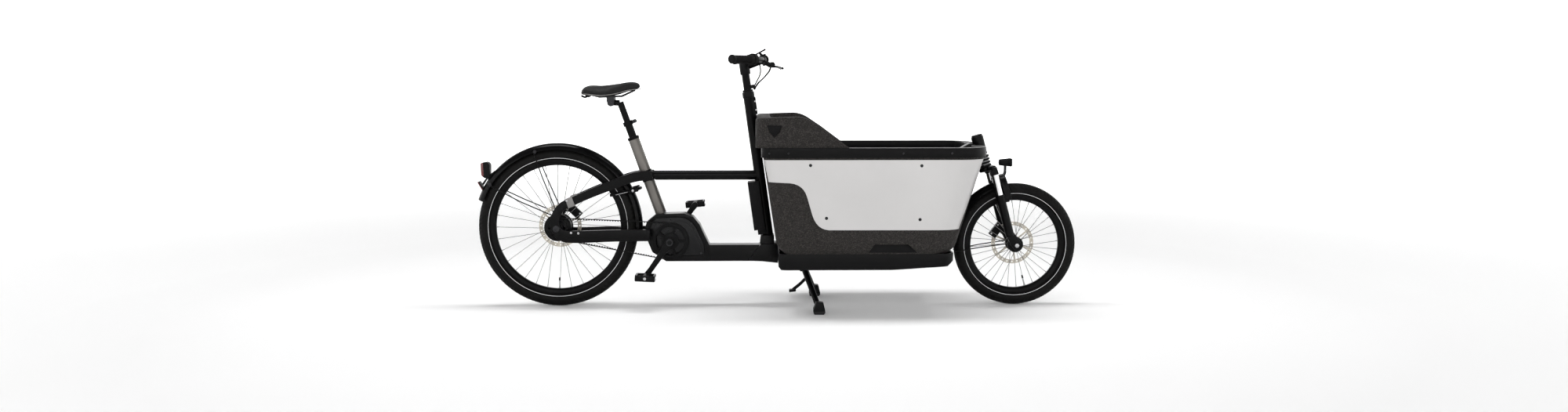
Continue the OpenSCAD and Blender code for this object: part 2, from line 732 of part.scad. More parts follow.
module lever_blade() {
    difference() {
        union() {
            cylinder(h = 9, d = 18, center = true);
            bent_rod([[0, 0, 0], [22, 26, -2], [28, 70, -5], [36, 118, -8]], 9);
        }
        cylinder(h = 20, d = 6 + 2 * run, center = true);
    }
}
module brake_lever_left() bike() color("#232324") translate(lever_pivot) lever_blade();
module brake_lever_right() bike() color("#232324") mirror([0, 1, 0]) translate(lever_pivot) lever_blade();

/* Hoses: one smooth tube through hand-set points */
hose_points = [
    [[892, -92, 1002], [886, -72, 986], [866, -46, 962], [844, -22, 940], [831, -10, 922], [826, -8, 910]],
    [[892, 92, 1002], [884, 70, 984], [862, 44, 958], [840, 22, 938], [829, 10, 922], [824, 8, 910]],
    [[846, -168, 1014], [850, -120, 990], [846, -66, 968], [836, -24, 948], [825, -2, 926], [822, 0, 910]]
];
function mix(p, i, t) =
    let(a = p[max(i - 1, 0)], b = p[i], c = p[i + 1], d = p[min(i + 2, len(p) - 1)])
    0.5 * (2 * b + (c - a) * t + (2 * a - 5 * b + 4 * c - d) * t * t + (3 * b - a - 3 * c + d) * t * t * t);
function smooth_path(p, n) = [for (i = [0 : len(p) - 2], k = [0 : n - 1]) mix(p, i, k / n), p[len(p) - 1]];
function unit(v) = v / norm(v);
function path_dir(p, i) = unit(p[min(i + 1, len(p) - 1)] - p[max(i - 1, 0)]);
function ring_points(p, i, r, n) =
    let(t = path_dir(p, i), u = unit(cross(t, [1, 0, 0.3])), v = cross(t, u))
    [for (k = [0 : n - 1]) p[i] + r * (cos(360 * k / n) * u + sin(360 * k / n) * v)];
module hose(points, d, n = 8) {
    p = smooth_path(points, 4);
    m = len(p);
    rings = [for (i = [0 : m - 1]) each ring_points(p, i, d / 2, n)];
    walls = [for (i = [0 : m - 2], k = [0 : n - 1])
        [i * n + k, (i + 1) * n + k, (i + 1) * n + (k + 1) % n, i * n + (k + 1) % n]];
    polyhedron(rings, concat(walls, [[for (k = [0 : n - 1]) k]],
        [[for (k = [n - 1 : -1 : 0]) (m - 1) * n + k]]));
}

module brake_hoses() bike() color("#101010") for (p = hose_points) hose(p, 5);

module display() bike() color("#151516") {
    translate([0, -46, 0]) {
        side(-30, 30) polygon([[827, 1056], [830, 1052], [872, 1074], [870, 1080]]);
        side(-5, 5) polygon([[842, 1060], [850, 1064], [868, 1048], [856, 1040]]);
    }
}

// What is clamped to the bar beside the grips
module bar_controls() {
    brake_perches();
    display();
}

/* ---- fork ---- */

module fork_crown() bike() color("#1c1c1d") on_fork() {
    difference() {
        union() {
            side(-leg_y - 18, leg_y + 18) {
                rounded([-24, -46], [44, -12], 12);
            }
        }
        translate([-60, -44, -80]) cube([160, 88, 52]);
        for (s = [-1, 1]) translate([leg_offset, s * leg_y, -100]) cylinder(h = 200, d = 30);
    }
    translate([0, 0, -12]) cylinder(h = 136, d = 28.6);
    for (s = [-1, 1]) translate([leg_offset, s * leg_y, -260]) cylinder(h = 252, d = 30);
}

// Drum that the steering cables turn, with their wraps
module cable_drum() bike() color("#1a1a1b") on_fork() difference() {
    union() {
        translate([0, 0, -11]) cylinder(h = 50, d = 46);
        for (z = [-9, 4, 17, 30]) translate([0, 0, z]) cylinder(h = 7, d = 60);
    }
    cylinder(h = 200, d = 28.6, center = true);
}

module fork_lowers() bike() color("#19191a") on_fork() {
    difference() {
        union() {
            for (s = [-1, 1]) {
                translate([leg_offset, s * leg_y, -318]) cylinder(h = 178, d = 37);
                translate([leg_offset, s * leg_y, -144]) cylinder(h = 10, d = 40);
            }
            both() side(50, 66) polygon([[6, -300], [40, -300], [60, -352], [56, -378], [30, -382], [20, -360]]);
            both() bent_rod([[30, leg_y - 6, -160], [58, 56, -122], [71, 36, -72], [72, 0, -66]], 16);
        }
        for (s = [-1, 1]) translate([leg_offset, s * leg_y, -316]) cylinder(h = 400, d = 30 + 2 * run);
        translate(front_axle) rotate([90, 0, 0]) cylinder(h = 200, d = front_axle_d, center = true);
    }
    translate(front_axle) rotate([90, 0, 0]) cylinder(h = 144, d = front_axle_d, center = true);
}

module front_fender() bike() color("#131314") on_front_axle() {
    translate([2, 0, 1]) rotate([0, -94, 0]) spin(56) fender_section(277, 32, 46);
    both() rod([-262, 31, 40], [-20, 51, 14], 5);
}

module headlight() bike() color("#202022") {
    translate([1854, 0, 604]) rotate([0, 90, 0]) cylinder(h = 44, d1 = 26, d2 = 34);
    translate([1897, -22, 587]) cube([12, 44, 34]);
    side(-6, 6) polygon([[1876, 590], [1886, 590], [1886, 560], [1876, 536], [1868, 540], [1876, 566]]);
}

module front_caliper() bike() color("#1f1f20") {
    on_front_axle() caliper(128, 39);
    on_fork() side(47, 50.5) translate([-14, -302]) square([26, 28]);
}

/* ---- stand ---- */

module kickstand() bike() color("#1a1a1b") {
    translate([stand_x, 0, stand_z]) rotate([90, 0, 0]) cylinder(h = 206, d = 22, center = true);
    both() bent_rod([[stand_x, 96, stand_z], [stand_x + 14, 118, 130], [stand_x + 52, foot_y - 16, 34]], 24);
    both() side(foot_y - 24, foot_y + 24) polygon([[1066, 0], [1106, 0], [1114, 10], [1104, 48], [1074, 52], [1062, 14]]);
    bent_rod([[stand_x + 26, 152, 98], [1020, 186, 56], [990, 192, 30]], 14);
    side(176, 208) polygon([[974, 22], [1004, 26], [1004, 36], [974, 34]]);
}

top_tube();
seat_tube();
seat_stays();
chainstays();
motor_bracket();
motor_unit();
motor_covers();
main_beam();
chassis_tray();
head_tube();
column_tube();
bearings();
box_shell();
side_panels();
rim_band();
rear_bolster();
frame_bolts();
rear_fender();
tail_light();
ring_lock();
battery();
drive_belt();
rear_caliper();
seat_collar();
seat_lever();
rear_tyre();
rear_rim();
rear_spokes();
rear_hub();
rear_rotor();
rear_pulley();
front_pulley();
crank_right();
crank_left();
pedal_right();
pedal_left();
steering_sleeve();
stem();
handlebar();
grips();
bar_controls();
brake_hoses();
twist_shifter();
brake_lever_right();
brake_lever_left();
fork_crown();
cable_drum();
fork_lowers();
front_fender();
headlight();
front_caliper();
front_tyre();
front_rim();
front_spokes();
front_hub();
front_rotor();
kickstand();
seat_post();
saddle_rails();
saddle_cover();
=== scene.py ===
import json
import math

import bmesh
import bpy
from mathutils import Matrix, Vector

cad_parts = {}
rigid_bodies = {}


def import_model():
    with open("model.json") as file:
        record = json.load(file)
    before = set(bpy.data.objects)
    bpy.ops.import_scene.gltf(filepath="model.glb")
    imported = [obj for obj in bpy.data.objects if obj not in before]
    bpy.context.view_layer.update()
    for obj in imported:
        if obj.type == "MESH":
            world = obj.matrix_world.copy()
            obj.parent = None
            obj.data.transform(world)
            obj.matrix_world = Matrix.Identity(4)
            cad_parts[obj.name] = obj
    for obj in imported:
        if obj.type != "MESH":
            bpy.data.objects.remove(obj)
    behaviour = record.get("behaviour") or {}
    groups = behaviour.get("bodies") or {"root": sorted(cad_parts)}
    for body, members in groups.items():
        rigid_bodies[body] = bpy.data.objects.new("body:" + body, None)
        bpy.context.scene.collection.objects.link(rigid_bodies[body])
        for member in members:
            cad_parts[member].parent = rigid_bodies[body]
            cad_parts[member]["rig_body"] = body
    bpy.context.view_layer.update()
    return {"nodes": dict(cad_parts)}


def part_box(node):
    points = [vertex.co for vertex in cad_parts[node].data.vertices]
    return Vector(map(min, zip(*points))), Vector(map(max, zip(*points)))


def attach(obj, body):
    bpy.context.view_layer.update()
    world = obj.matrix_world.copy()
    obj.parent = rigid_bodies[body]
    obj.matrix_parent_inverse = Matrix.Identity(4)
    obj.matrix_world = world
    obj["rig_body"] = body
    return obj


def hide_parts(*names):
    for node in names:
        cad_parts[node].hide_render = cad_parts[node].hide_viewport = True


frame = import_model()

# Shapes below are in millimetres, measured from the ground under the rear axle:
# X forward, Y to the rider's left, Z up. row() turns such a point into the frame's metres.
MM = 0.001
REAR_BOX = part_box("rear_tyre")
REAR_X = (REAR_BOX[0].x + REAR_BOX[1].x) / 2


def row(point):
    return Vector((REAR_X + point[0] * MM, point[1] * MM, point[2] * MM))


def moved(x, y, z):
    return Matrix.Translation((x, y, z))


def leaning(degrees):
    return Matrix.Rotation(-math.radians(degrees), 4, "Y")


HERE = Matrix.Identity(4)
MIRROR = Matrix.Scale(-1, 4, (0, 1, 0))
SEAT = moved(319.5, 0, 702.5) @ leaning(19.6)
COLUMN = moved(801, 0, 876) @ leaning(7.8)
FORK = moved(1791.5, 0, 595.3) @ leaning(15)
REAR = moved(0, 0, 334)
FRONT = FORK @ moved(41, 0, -360.2)
CRANK = moved(471, 0, 278)
# UPRIGHT turns a shape's Y axis to Z, and ACROSS turns it to -X
UPRIGHT = Matrix.Rotation(math.radians(90), 4, "X")
ACROSS = Matrix.Rotation(math.radians(90), 4, "Z")
SIDES = (1, -1)


# ---- shapes: each is a pair of vertex and face lists ----

def placed(shape, matrix):
    verts, faces = shape
    flipped = matrix.determinant() < 0
    return [matrix @ Vector(v) for v in verts], [tuple(reversed(f)) for f in faces] if flipped else faces


def joined(shapes):
    verts, faces = [], []
    for some_verts, some_faces in shapes:
        base = len(verts)
        verts += [Vector(v) for v in some_verts]
        faces += [tuple(i + base for i in f) for f in some_faces]
    return verts, faces


def loft(rings, closed=False):
    """Skin over rings of equal count, with flat ends unless the rings close on themselves."""
    n, m = len(rings[0]), len(rings)
    verts = [v for ring in rings for v in ring]
    last = m if closed else m - 1
    faces = [(i * n + k, ((i + 1) % m) * n + k, ((i + 1) % m) * n + (k + 1) % n, i * n + (k + 1) % n)
             for i in range(last) for k in range(n)]
    if not closed:
        faces += [tuple(range(n)), tuple(range((m - 1) * n, m * n))[::-1]]
    return verts, faces


def turned(profile, steps=64, start=0, sweep=360):
    """A closed profile of (radius, y), turned about the Y axis. Angles rise from +X towards +Z."""
    whole = sweep >= 360
    count = steps if whole else steps + 1
    rings = []
    for i in range(count):
        a = math.radians(start + sweep * i / steps)
        rings.append([(r * math.cos(a), y, r * math.sin(a)) for r, y in profile])
    return loft(rings, closed=whole)


def frame_at(direction):
    side = direction.cross(Vector((0.13, 0.21, 0.97)))
    if side.length < 0.1:
        side = direction.cross(Vector((1, 0, 0)))
    side.normalize()
    return side, direction.cross(side)


def smooth(points, fine=8):
    """Points along a smooth curve through the given ones."""
    p = [Vector(q) for q in points]
    out = []
    for i in range(len(p) - 1):
        a, b, c, d = p[max(i - 1, 0)], p[i], p[i + 1], p[min(i + 2, len(p) - 1)]
        for k in range(fine):
            t = k / fine
            out.append(0.5 * (2 * b + (c - a) * t + (2 * a - 5 * b + 4 * c - d) * t * t
                              + (3 * b - a - 3 * c + d) * t ** 3))
    return out + [p[-1]]


def filleted(points, reach, fine=6):
    """A path whose inner corners are rounded, starting and ending each bend at reach from its corner."""
    p = [Vector(q) for q in points]
    out = [p[0]]
    for before, corner, after in zip(p, p[1:], p[2:]):
        a = corner + (before - corner).normalized() * min(reach, (before - corner).length * 0.49)
        c = corner + (after - corner).normalized() * min(reach, (after - corner).length * 0.49)
        out += [a.lerp(corner, t / fine).lerp(corner.lerp(c, t / fine), t / fine) for t in range(fine + 1)]
    return out + [p[-1]]


def tube(path, radius, sides=16, wide=1.0, rounding=0.25):
    """A round bar along a path, with eased ends. wide flattens it sideways."""
    p = [Vector(q) for q in path]
    ease = radius * rounding
    first, last = (p[1] - p[0]).normalized(), (p[-1] - p[-2]).normalized()
    centres = [p[0], p[0] + first * ease] + p[1:-1] + [p[-1] - last * ease, p[-1]]
    sizes = [radius - ease] + [radius] * (len(centres) - 2) + [radius - ease]
    side, _ = frame_at(first)
    rings = []
    for i, centre in enumerate(centres):
        a, b = centres[max(i - 1, 0)], centres[min(i + 1, len(centres) - 1)]
        direction = (b - a).normalized()
        side = (side - direction * side.dot(direction)).normalized()
        other = direction.cross(side)
        rings.append([centre + sizes[i] * (math.cos(t) * side + wide * math.sin(t) * other)
                      for t in [2 * math.pi * k / sides for k in range(sides)]])
    return loft(rings)


def bar(p, q, radius, sides=24, end=None):
    """A straight round bar from p to q; end is its radius at q."""
    p, q = Vector(p), Vector(q)
    side, other = frame_at((q - p).normalized())
    end = radius if end is None else end
    rings = [[c + r * (math.cos(t) * side + math.sin(t) * other)
              for t in [2 * math.pi * k / sides for k in range(sides)]]
             for c, r in ((p, radius), (q, end))]
    return loft(rings)


def prism(outline, y0, y1):
    """An outline of (x, z) points, thickened from y0 to y1."""
    return loft([[(x, y0, z) for x, z in outline], [(x, y1, z) for x, z in outline]])


def brick(low, high):
    return prism([(low[0], low[2]), (high[0], low[2]), (high[0], high[2]), (low[0], high[2])], low[1], high[1])


def rounded(outline, radius, fine=4):
    """An outline with each corner rounded off."""
    n, out = len(outline), []
    for i in range(n):
        a, b, c = (Vector(outline[(i + k) % n]) for k in (-1, 0, 1))
        near = min(radius, (a - b).length * 0.45, (c - b).length * 0.45)
        p, q = b + (a - b).normalized() * near, b + (c - b).normalized() * near
        out += [tuple(p.lerp(b, t / fine).lerp(b.lerp(q, t / fine), t / fine)) for t in range(fine + 1)]
    return out


def inset(outline, distance):
    """The outline moved inward, for outlines that run the same way round as their centre sees them."""
    n, out = len(outline), []
    area = sum(outline[i][0] * outline[(i + 1) % n][1] - outline[(i + 1) % n][0] * outline[i][1] for i in range(n))
    turn = 1 if area > 0 else -1
    for i in range(n):
        a, b, c = (Vector(outline[(i + k) % n]) for k in (-1, 0, 1))
        u, v = (b - a).normalized(), (c - b).normalized()
        bisector = Vector((-(u.y + v.y), u.x + v.x))
        if bisector.length < 1e-6:
            bisector = Vector((-u.y, u.x))
        bisector.normalize()
        cosine = max(0.35, bisector.dot(Vector((-u.y, u.x))))
        out.append(tuple(b + turn * bisector * distance / cosine))
    return out


def circle(x, z, radius, n=32, start=0, sweep=360):
    count = n if sweep >= 360 else n + 1
    return [(x + radius * math.cos(math.radians(start + sweep * k / n)),
             z + radius * math.sin(math.radians(start + sweep * k / n))) for k in range(count)]


# ---- pieces ----

def shade(mesh, bm, sharp):
    bmesh.ops.recalc_face_normals(bm, faces=bm.faces)
    for face in bm.faces:
        face.smooth = True
    for edge in bm.edges:
        if len(edge.link_faces) == 2:
            edge.smooth = edge.calc_face_angle(0) < math.radians(sharp)
    bm.to_mesh(mesh)
    bm.free()


def soften_edges(bm, width, least=28):
    edges = [e for e in bm.edges if len(e.link_faces) == 2 and e.calc_face_angle(0) > math.radians(least)]
    bmesh.ops.bevel(bm, geom=edges, offset=width * MM, segments=2, profile=0.6, affect="EDGES", clamp_overlap=True)


def piece(name, shapes, mat, body, at=HERE, replaces=(), bevel=0, sharp=38):
    """One object from shapes, on a body, with its material and what it stands for."""
    verts, faces = joined([placed(s, at) for s in shapes])
    bm = bmesh.new()
    made = [bm.verts.new(row(v)) for v in verts]
    for f in faces:
        bm.faces.new([made[i] for i in f])
    bmesh.ops.remove_doubles(bm, verts=bm.verts, dist=1e-6)
    if bevel:
        soften_edges(bm, bevel)
    mesh = bpy.data.meshes.new(name)
    shade(mesh, bm, sharp)
    obj = bpy.data.objects.new(name, mesh)
    bpy.context.scene.collection.objects.link(obj)
    mesh.materials.append(mat)
    return settle(obj, body, replaces)


def settle(obj, body, replaces):
    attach(obj, body)
    if replaces:
        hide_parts(*replaces)
    return obj


def eased(node, mat, bevel=0.0, sharp=32, name=None):
    """A copy of a CAD node with softened edges and even shading, which stands for it."""
    source = frame["nodes"][node]
    bm = bmesh.new()
    bm.from_mesh(source.data)
    bmesh.ops.remove_doubles(bm, verts=bm.verts, dist=2e-6)
    bmesh.ops.dissolve_limit(bm, angle_limit=math.radians(0.6), verts=bm.verts, edges=bm.edges)
    if bevel:
        soften_edges(bm, bevel)
    mesh = bpy.data.meshes.new(name or node + "_eased")
    shade(mesh, bm, sharp)
    obj = bpy.data.objects.new(name or node + "_eased", mesh)
    bpy.context.scene.collection.objects.link(obj)
    mesh.materials.append(mat)
    return settle(obj, source["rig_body"], [node])


def repaint(node, mat):
    data = frame["nodes"][node].data
    if not data.materials:
        data.materials.append(mat)
    for i in range(len(data.materials)):
        data.materials[i] = mat


# ---- materials ----

def new_material(name):
    mat = bpy.data.materials.new(name)
    mat.use_nodes = True
    tree = mat.node_tree
    shader = tree.nodes["Principled BSDF"]
    place = tree.nodes.new("ShaderNodeTexCoord").outputs["Object"]
    return mat, tree, shader, place


def noise(tree, place, scale, detail=3.0, stretch=(1, 1, 1)):
    mapping = tree.nodes.new("ShaderNodeMapping")
    mapping.inputs["Scale"].default_value = stretch
    tree.links.new(place, mapping.inputs["Vector"])
    tex = tree.nodes.new("ShaderNodeTexNoise")
    tex.inputs["Scale"].default_value = scale
    tex.inputs["Detail"].default_value = detail
    tree.links.new(mapping.outputs["Vector"], tex.inputs["Vector"])
    return tex.outputs["Fac"]


def ramp(tree, factor, stops):
    """Colours between (position, colour) stops."""
    node = tree.nodes.new("ShaderNodeValToRGB")
    elements = node.color_ramp.elements
    while len(elements) < len(stops):
        elements.new(0.5)
    for element, (position, colour) in zip(elements, stops):
        element.position = position
        element.color = (*colour, 1)
    tree.links.new(factor, node.inputs["Fac"])
    return node.outputs["Color"]


def span(tree, factor, low, high, start=0.3, end=0.7):
    """A factor from start to end, spread to a value from low to high."""
    node = tree.nodes.new("ShaderNodeMapRange")
    for socket, value in zip(("From Min", "From Max", "To Min", "To Max"), (start, end, low, high)):
        node.inputs[socket].default_value = value
    tree.links.new(factor, node.inputs["Value"])
    return node.outputs["Result"]


def bump(tree, height, depth, strength=1.0, before=None):
    node = tree.nodes.new("ShaderNodeBump")
    node.inputs["Strength"].default_value = strength
    node.inputs["Distance"].default_value = depth
    tree.links.new(height, node.inputs["Height"])
    if before is not None:
        tree.links.new(before, node.inputs["Normal"])
    return node.outputs["Normal"]


def surface(name, colour, rough, spread=0.06, metallic=0.0, mottle=0.12, blotch=9, grain=1500,
            depth=0.00004, coat=0.0, stretch=(1, 1, 1), gloss=0.09):
    """A finish whose colour drifts in soft blotches, with fine grain in its gloss and relief."""
    mat, tree, shader, place = new_material(name)
    soft = noise(tree, place, blotch, 4)
    fine = noise(tree, place, grain, 2, stretch)
    dark = [c * (1 - mottle) for c in colour]
    light = [min(1, c * (1 + mottle)) for c in colour]
    tree.links.new(ramp(tree, soft, [(0.32, dark), (0.68, light)]), shader.inputs["Base Color"])
    tree.links.new(span(tree, fine, rough - spread, rough + spread), shader.inputs["Roughness"])
    tree.links.new(bump(tree, fine, depth), shader.inputs["Normal"])
    shader.inputs["Metallic"].default_value = metallic
    shader.inputs["Coat Weight"].default_value = coat
    shader.inputs["Coat Roughness"].default_value = 0.12
    shader.inputs["Specular IOR Level"].default_value = gloss
    return mat


def foam(name, dark, light, beads=330):
    """Moulded bead foam: rounded cells, each of its own shade, with dark joints."""
    mat, tree, shader, place = new_material(name)
    cells = tree.nodes.new("ShaderNodeTexVoronoi")
    cells.inputs["Scale"].default_value = beads
    tree.links.new(place, cells.inputs["Vector"])
    shade_of = tree.nodes.new("ShaderNodeSeparateColor")
    tree.links.new(cells.outputs["Color"], shade_of.inputs["Color"])
    mid = [(a + b) / 2.6 for a, b in zip(dark, light)]
    tone = ramp(tree, shade_of.outputs["Red"], [(0.1, dark), (0.55, mid), (0.95, light)])
    joint = ramp(tree, cells.outputs["Distance"], [(0.35, (1, 1, 1)), (0.75, (0.35, 0.35, 0.35))])
    mix = tree.nodes.new("ShaderNodeMix")
    mix.data_type = "RGBA"
    mix.blend_type = "MULTIPLY"
    mix.inputs["Factor"].default_value = 0.8
    tree.links.new(tone, mix.inputs["A"])
    tree.links.new(joint, mix.inputs["B"])
    tree.links.new(mix.outputs["Result"], shader.inputs["Base Color"])
    relief = bump(tree, cells.outputs["Distance"], -0.0006, 0.7)
    tree.links.new(bump(tree, noise(tree, place, 900), 0.0001, 0.5, relief), shader.inputs["Normal"])
    tree.links.new(span(tree, noise(tree, place, 60), 0.6, 0.82), shader.inputs["Roughness"])
    shader.inputs["Specular IOR Level"].default_value = 0.2
    return mat


def leather(name, colour, cells_per_metre=520):
    """Grained cover: small irregular cells between fine creases."""
    mat, tree, shader, place = new_material(name)
    cells = tree.nodes.new("ShaderNodeTexVoronoi")
    cells.feature = "DISTANCE_TO_EDGE"
    cells.inputs["Scale"].default_value = cells_per_metre
    tree.links.new(place, cells.inputs["Vector"])
    creases = span(tree, cells.outputs["Distance"], 0, 1, 0.0, 0.12)
    dark = [c * 0.7 for c in colour]
    light = [c * 1.35 for c in colour]
    tree.links.new(ramp(tree, noise(tree, place, 30, 4), [(0.35, dark), (0.7, light)]),
                   shader.inputs["Base Color"])
    tree.links.new(bump(tree, creases, 0.00025, 0.5), shader.inputs["Normal"])
    tree.links.new(span(tree, noise(tree, place, 200), 0.42, 0.6), shader.inputs["Roughness"])
    shader.inputs["Specular IOR Level"].default_value = 0.2
    return mat


def ringed(name, colour, rough, centre, rings=2600, metallic=1.0):
    """Metal ground or turned about an axle at centre, with fine rings."""
    mat, tree, shader, place = new_material(name)
    mapping = tree.nodes.new("ShaderNodeMapping")
    mapping.inputs["Location"].default_value = -centre
    tree.links.new(place, mapping.inputs["Vector"])
    wave = tree.nodes.new("ShaderNodeTexWave")
    wave.wave_type = "RINGS"
    wave.rings_direction = "Y"
    wave.inputs["Scale"].default_value = rings / 10
    wave.inputs["Distortion"].default_value = 1.5
    tree.links.new(mapping.outputs["Vector"], wave.inputs["Vector"])
    dark = [c * 0.72 for c in colour]
    tree.links.new(ramp(tree, noise(tree, place, 40, 4), [(0.3, dark), (0.7, colour)]),
                   shader.inputs["Base Color"])
    tree.links.new(span(tree, wave.outputs["Fac"], rough - 0.08, rough + 0.08, 0, 1),
                   shader.inputs["Roughness"])
    tree.links.new(bump(tree, wave.outputs["Fac"], 0.00003), shader.inputs["Normal"])
    shader.inputs["Metallic"].default_value = metallic
    return mat


def lens(name, colour, rough=0.08, cells=380, glow=0.0):
    """Clear moulded plastic over small prisms."""
    mat, tree, shader, place = new_material(name)
    prisms = tree.nodes.new("ShaderNodeTexVoronoi")
    prisms.inputs["Scale"].default_value = cells
    prisms.inputs["Randomness"].default_value = 0.0
    tree.links.new(place, prisms.inputs["Vector"])
    deep = [c * 0.55 for c in colour]
    tree.links.new(ramp(tree, prisms.outputs["Distance"], [(0.1, colour), (0.6, deep)]),
                   shader.inputs["Base Color"])
    tree.links.new(bump(tree, prisms.outputs["Distance"], 0.0004, 0.6), shader.inputs["Normal"])
    shader.inputs["Roughness"].default_value = rough
    shader.inputs["Coat Weight"].default_value = 0.8
    shader.inputs["Emission Color"].default_value = (*colour, 1)
    shader.inputs["Emission Strength"].default_value = glow
    return mat


M = {
    "frame": surface("frame_satin", (0.002, 0.002, 0.0022), 0.32, 0.05, coat=0.03, grain=2200),
    "grey": surface("seat_tube_lacquer", (0.15, 0.141, 0.13), 0.36, 0.06, 0.6, 0.1, 14, coat=0.1,
                    grain=1800, stretch=(1, 1, 0.12)),
    "clamp": surface("clamp_alloy", (0.2, 0.195, 0.19), 0.4, 0.08, 0.8, 0.1, 30, 2400),
    "motor": surface("motor_cover", (0.0045, 0.0045, 0.005), 0.2, 0.04, coat=0.15, mottle=0.1, grain=2600,
                     depth=0.00002),
    "steel": surface("bright_steel", (0.4, 0.4, 0.405), 0.28, 0.08, 1.0, 0.06, 40, 3000, 0.00002),
    "bolt": surface("blacked_bolt", (0.03, 0.03, 0.032), 0.4, 0.1, 0.8, 0.2, 60, 3000),
    "foam": foam("bead_foam", (0.016, 0.0145, 0.0135), (0.044, 0.0395, 0.0365)),
    "panel": surface("panel_lacquer", (0.52, 0.512, 0.508), 0.34, 0.05, 0.25, 0.03, 3, 5200, 0.00001,
                     coat=0.3, gloss=0.5),
    "rim_band": surface("rim_band_plastic", (0.0035, 0.0035, 0.0037), 0.38, 0.06, grain=1300, depth=0.00008),
    "fender": surface("fender_gloss", (0.0025, 0.0025, 0.0027), 0.24, 0.03, coat=0.05, grain=900,
                      depth=0.00002),
    "plastic": surface("moulded_plastic", (0.004, 0.004, 0.0043), 0.48, 0.08, grain=1700, depth=0.0001),
    "battery": surface("battery_plastic", (0.0035, 0.0035, 0.0039), 0.42, 0.06, grain=2000, depth=0.0001),
    "rubber": surface("tyre_rubber", (0.0043, 0.0042, 0.004), 0.55, 0.08, mottle=0.25, blotch=25, grain=1400,
                      depth=0.00012),
    "grip": surface("grip_rubber", (0.005, 0.0049, 0.0047), 0.66, 0.06, mottle=0.2, grain=2400, depth=0.0001),
    "belt": surface("belt_rubber", (0.004, 0.004, 0.004), 0.55, 0.06, grain=2600, depth=0.00008),
    "reflex": surface("reflex_line", (0.72, 0.73, 0.74), 0.35, 0.08, mottle=0.06, grain=3500, depth=0.00003),
    "rim": surface("rim_anodised", (0.0035, 0.0035, 0.0037), 0.32, 0.06, 0.2, grain=2600, depth=0.00003),
    "spoke": surface("spoke_steel", (0.24, 0.24, 0.235), 0.3, 0.08, 1.0, 0.08, 50, 3000, 0.00002),
    "anodised": surface("black_anodised", (0.0045, 0.0045, 0.0047), 0.32, 0.06, 0.3, grain=2600,
                        depth=0.00003),
    "lever": surface("forged_lever", (0.006, 0.006, 0.0063), 0.33, 0.07, 0.3, grain=2400, depth=0.00003),
    "hose": surface("hose_skin", (0.005, 0.005, 0.005), 0.42, 0.05, grain=2600, depth=0.00004),
    "chrome": surface("polished_tube", (0.78, 0.78, 0.79), 0.1, 0.04, 1.0, 0.03, 30, 2500, 0.00001,
                      stretch=(1, 1, 0.1)),
    "lock": surface("lock_metal", (0.004, 0.004, 0.0043), 0.36, 0.08, 0.2, grain=2300, depth=0.00004),
    "rail": surface("rail_steel", (0.03, 0.03, 0.032), 0.32, 0.07, 0.8, grain=2800, depth=0.00002),
    "saddle": leather("saddle_cover", (0.0045, 0.0043, 0.0043)),
    "piping": surface("saddle_edge", (0.17, 0.165, 0.16), 0.55, 0.08, mottle=0.2, blotch=60, grain=2500,
                      depth=0.0001),
    "red": lens("red_lens", (0.13, 0.004, 0.004)),
    "white_lens": lens("clear_lens", (0.8, 0.82, 0.85), cells=260),
    "reflector": lens("pedal_reflector", (0.75, 0.76, 0.78), cells=420),
    "screen": surface("display_glass", (0.02, 0.022, 0.026), 0.08, 0.02, coat=0.9, grain=600, depth=0.00001),
    "elastomer": surface("foot_rubber", (0.02, 0.02, 0.02), 0.7, 0.06, mottle=0.2, grain=1500,
                         depth=0.00015),
}
REAR_ROTOR_STEEL = ringed("rear_rotor_ground", (0.56, 0.52, 0.45), 0.3, row((0, 0, 334)))
FRONT_AXLE = row(FRONT @ Vector((0, 0, 0)))
FRONT_ROTOR_STEEL = ringed("front_rotor_ground", (0.56, 0.52, 0.45), 0.3, FRONT_AXLE)


# ---- wheels ----

def tyre(name, centre, radius, width, seat, blocks, body, replaces):
    """A casing with a tread of slanted blocks, and a pale line on each side."""
    half = width / 2
    steps = blocks * 6
    edge = math.acos((seat - (radius - half)) / half)
    across = [edge * (2 * k / 34 - 1) for k in range(35)]
    groove = 1.7
    rings = []
    for i in range(steps):
        a = 2 * math.pi * i / steps
        ring = []
        for phi in across:
            crown = abs(phi) < 1.3
            slant = (i / 6 + 0.9 * abs(phi)) % 1
            line = min(abs(abs(phi) - 0.34), abs(abs(phi) - 0.86)) < 0.05
            cut = groove if crown and (slant < 0.3 and abs(phi) > 0.12 or line) else 0
            r = radius - half + (half - cut) * math.cos(phi)
            ring.append((r * math.cos(a), (half - cut) * math.sin(phi), r * math.sin(a)))
        ring += [(seat * math.cos(a), half * 0.45, seat * math.sin(a)),
                 (seat * math.cos(a), -half * 0.45, seat * math.sin(a))]
        rings.append(ring)
    piece(name, [loft(rings, True)], M["rubber"], body, centre, replaces, sharp=60)
    shapes = []
    for side in SIDES:
        bands = []
        for phi, lift in ((2.10, -0.1), (2.11, 0.25), (2.17, 0.25), (2.18, -0.1)):
            bands.append((radius - half + (half + lift) * math.cos(phi), side * (half + lift) * math.sin(phi)))
        shapes.append(turned(bands, 160))
    piece(name + "_line", shapes, M["reflex"], body, centre)


